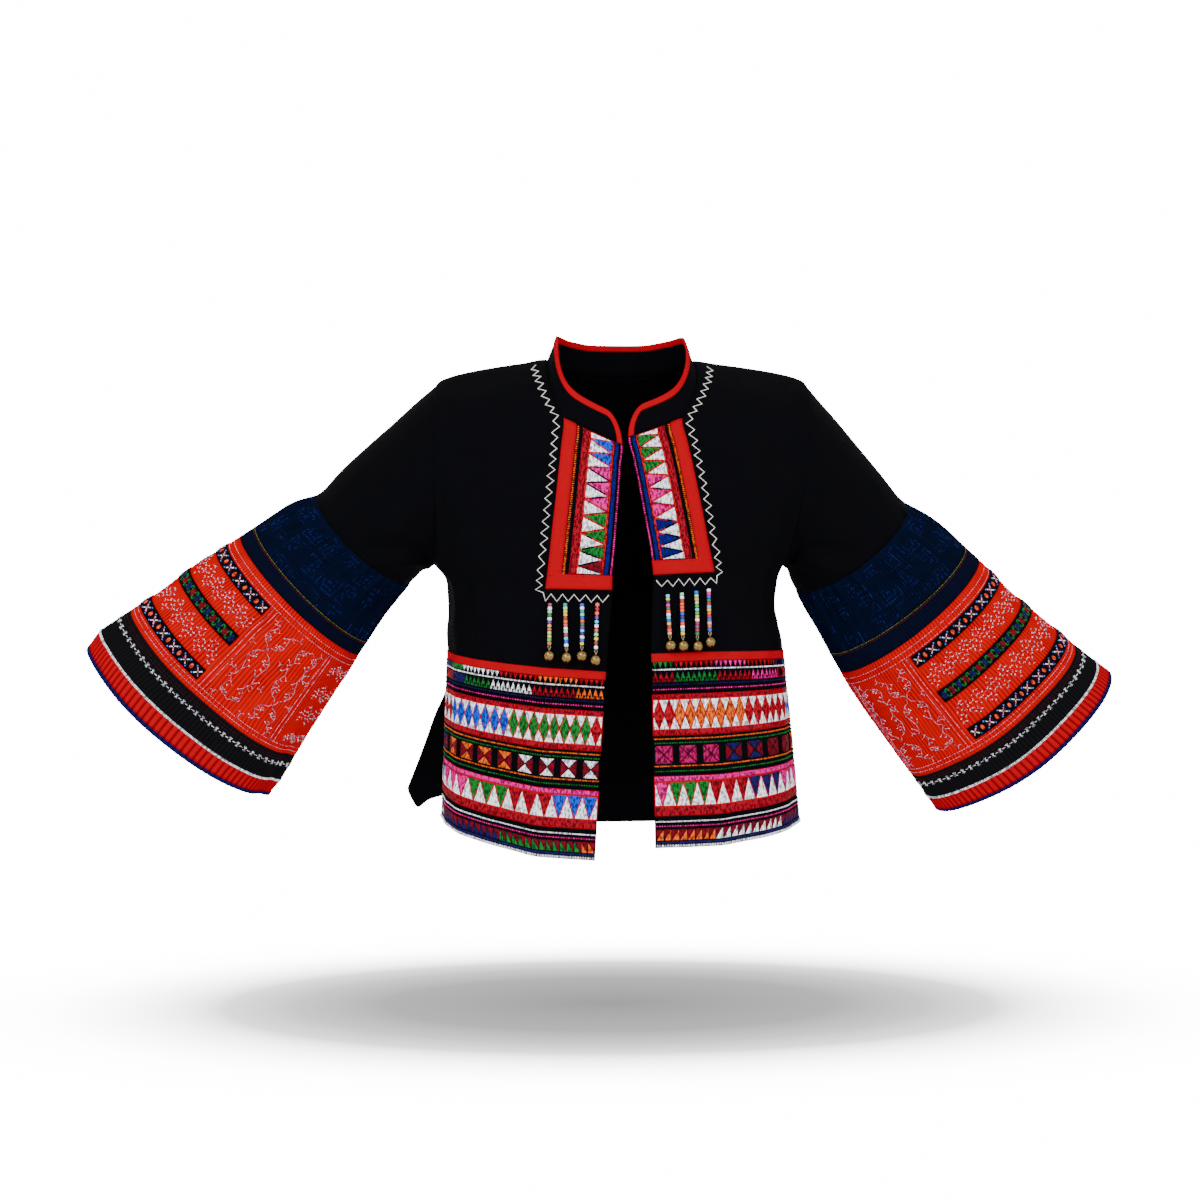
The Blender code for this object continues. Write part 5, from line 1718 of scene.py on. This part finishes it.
# ---------------------------------------------------------------- cut sizes
# cloth, width around the body, length down it, area of the cut, how it is held, what it is sewn to, its stitches;
# "%s" stands for the side
CUTS = (
    ("front_%s", 0.245, 0.585, 0.110, "hung", ("collar",), ("zigzag_thread_%s",)),
    ("placket_ribbon_%s", 0.054, 0.166, 0.0075, "laid", ("front_%s",), ("placket_stitches_%s",)),
    ("placket_border_%s", 0.068, 0.180, 0.0037, "laid", ("front_%s",), ("placket_seam_stitches_%s",)),
    ("waist_binding_%s", 0.220, 0.010, 0.0022, "laid", ("front_%s",), ()),
    ("waist_teeth_%s", 0.220, 0.034, 0.0074, "laid", ("front_%s",), ("waist_teeth_stitches_%s",)),
    ("waist_diamonds_%s", 0.220, 0.043, 0.0093, "laid", ("front_%s",), ("waist_diamonds_stitches_%s",)),
    ("waist_hourglass_%s", 0.217, 0.042, 0.0090, "laid", ("front_%s",), ("waist_hourglass_stitches_%s",)),
    ("waist_triangles_%s", 0.217, 0.042, 0.0089, "laid", ("front_%s",), ("waist_triangles_stitches_%s",)),
    ("waist_small_%s", 0.217, 0.027, 0.0058, "laid", ("front_%s",), ("waist_small_stitches_%s",)),
    ("hem_cord_%s", 0.217, 0.010, 0.0016, "laid", ("front_%s",), ("hem_cord_stitches_%s",)),
    ("sleeve_upper_%s", 0.510, 0.178, 0.0470, "hung", ("front_%s", "back"), ()),
    ("sleeve_batik_%s", 0.560, 0.088, 0.0480, "gathered", ("sleeve_upper_%s",), ()),
    ("sleeve_strip_%s", 0.550, 0.022, 0.0120, "gathered", ("sleeve_batik_%s",), ("strip_stitches_%s",)),
    ("sleeve_flare_%s", 0.640, 0.158, 0.0950, "gathered", ("sleeve_strip_%s",), ("flare_stitches_%s",)),
    ("cuff_band_%s", 0.640, 0.040, 0.0240, "gathered", ("sleeve_flare_%s",), ("cuff_stitches_%s",)),
    ("cuff_border_%s", 0.660, 0.021, 0.0135, "gathered", ("cuff_band_%s",), ()),
    ("cuff_piping_%s", 0.660, 0.010, 0.0050, "folded", ("cuff_border_%s",), ()),
)


def cut(name, wide, long, area, held, sewn_to, worked):
    bpy.data.objects[name + "_cloth"]


# length, width and area of each flare ribbon's cut
RIBBON_CUTS = {"right": ((0.262, 0.0165, 0.0042), (0.275, 0.0165, 0.0045), (0.290, 0.0170, 0.0048)),
               "left": ((0.305, 0.0165, 0.0049), (0.320, 0.0165, 0.0052), (0.337, 0.0170, 0.0056))}

cut("back", 0.500, 0.580, 0.233, "hung", ("collar",), ())
cut("collar", 0.530, 0.036, 0.0147, "hung", ("back",), ())
cut("collar_binding", 0.530, 0.012, 0.0055, "folded", ("collar",), ())
for side, _ in SIDES:
    for name, wide, long, area, held, sewn_to, worked in CUTS:
        cut(name % side, wide, long, area, held, [n.replace("%s", side) for n in sewn_to], [n % side for n in worked])
    for number, (wide, long, area) in enumerate(RIBBON_CUTS[side], 1):
        node = "flare_ribbon_%s_%d" % (side, number)
        cut(node, wide, long, area, "laid", ["sleeve_flare_" + side], [node + "_stitches"])


# ---------------------------------------------------------------- set
FLOOR_Z = -0.70
GLOW, SOFT_FILL = 16, 1.5             # how bright the set looks, and how much it lights
# The shadow painted on the floor under the jacket: its middle and half axes, then its greys from there outwards
SHADOW = ((0.013, 0.565), (0.045, 0.45))
SHADOW_GREYS = ((0.0, 0.027), (0.215, 0.041), (0.30, 0.070), (0.365, 0.121), (0.44, 0.40), (0.55, 0.87), (0.66, 1))


def glow_or_lit(tree, glow, lit):
    """Shows one shader to the eye and the other to the light."""
    look = tree.nodes.new("ShaderNodeLightPath")
    mix = tree.nodes.new("ShaderNodeMixShader")
    tree.links.new(look.outputs["Is Camera Ray"], mix.inputs[0])
    tree.links.new(lit, mix.inputs[1])
    tree.links.new(glow, mix.inputs[2])
    return mix.outputs[0]


def studio():
    world = bpy.data.worlds.new("studio")
    bpy.context.scene.world = world
    world.use_nodes = True
    tree = world.node_tree
    soft_fill = next(n for n in tree.nodes if n.type == "BACKGROUND")
    white = tree.nodes.new("ShaderNodeBackground")
    for light, strength in ((soft_fill, SOFT_FILL), (white, GLOW)):
        light.inputs["Color"].default_value = (1, 1, 1, 1)
        light.inputs["Strength"].default_value = strength
    out = next(n for n in tree.nodes if n.type == "OUTPUT_WORLD")
    tree.links.new(glow_or_lit(tree, white.outputs[0], soft_fill.outputs[0]), out.inputs["Surface"])
    bpy.ops.object.select_all(action="DESELECT")
    bpy.ops.mesh.primitive_plane_add(size=24, location=(0, 0, FLOOR_Z))
    floor = bpy.context.object
    floor.name = "floor"
    bpy.ops.object.transform_apply(location=True, rotation=True, scale=True)
    finish = Finish("white_floor_painted_shadow", 0.9, specular=0.0)
    finish.set(Base_Color=(0.9, 0.9, 0.9))
    # painted shadow: to the eye the floor glows in greys that ramp out from the middle under the jacket
    place = finish.node("ShaderNodeTexCoord", out=3)
    x, y = ((part + off) * (1 / half) for part, (off, half) in zip(finish.parts(place), SHADOW))
    far = (x * x + y * y) ** 0.5
    stops = [(at, (grey,) * 3) for at, grey in SHADOW_GREYS]
    ramp = finish.node("ShaderNodeValToRGB", {"stops": stops}, {0: far * 0.5})
    shown = finish.tree.nodes.new("ShaderNodeEmission")
    finish.tree.links.new(ramp.link, shown.inputs["Color"])
    shown.inputs["Strength"].default_value = GLOW
    out = next(n for n in finish.tree.nodes if n.type == "OUTPUT_MATERIAL")
    finish.tree.links.new(glow_or_lit(finish.tree, shown.outputs[0], finish.shader.outputs[0]), out.inputs["Surface"])
    floor.data.materials.append(finish.material)


set_camera()
studio()
area_light("key", (-1.6, -2.4, 1.5), (0, 0, -0.25), (1.4, 1.4), 62)
area_light("fill", (1.9, -2.2, 0.6), (0, 0, -0.25), (1.6, 1.6), 22)
area_light("front", (0, -3.2, 0.2), (0, 0, -0.3), (2.4, 1.6), 26)
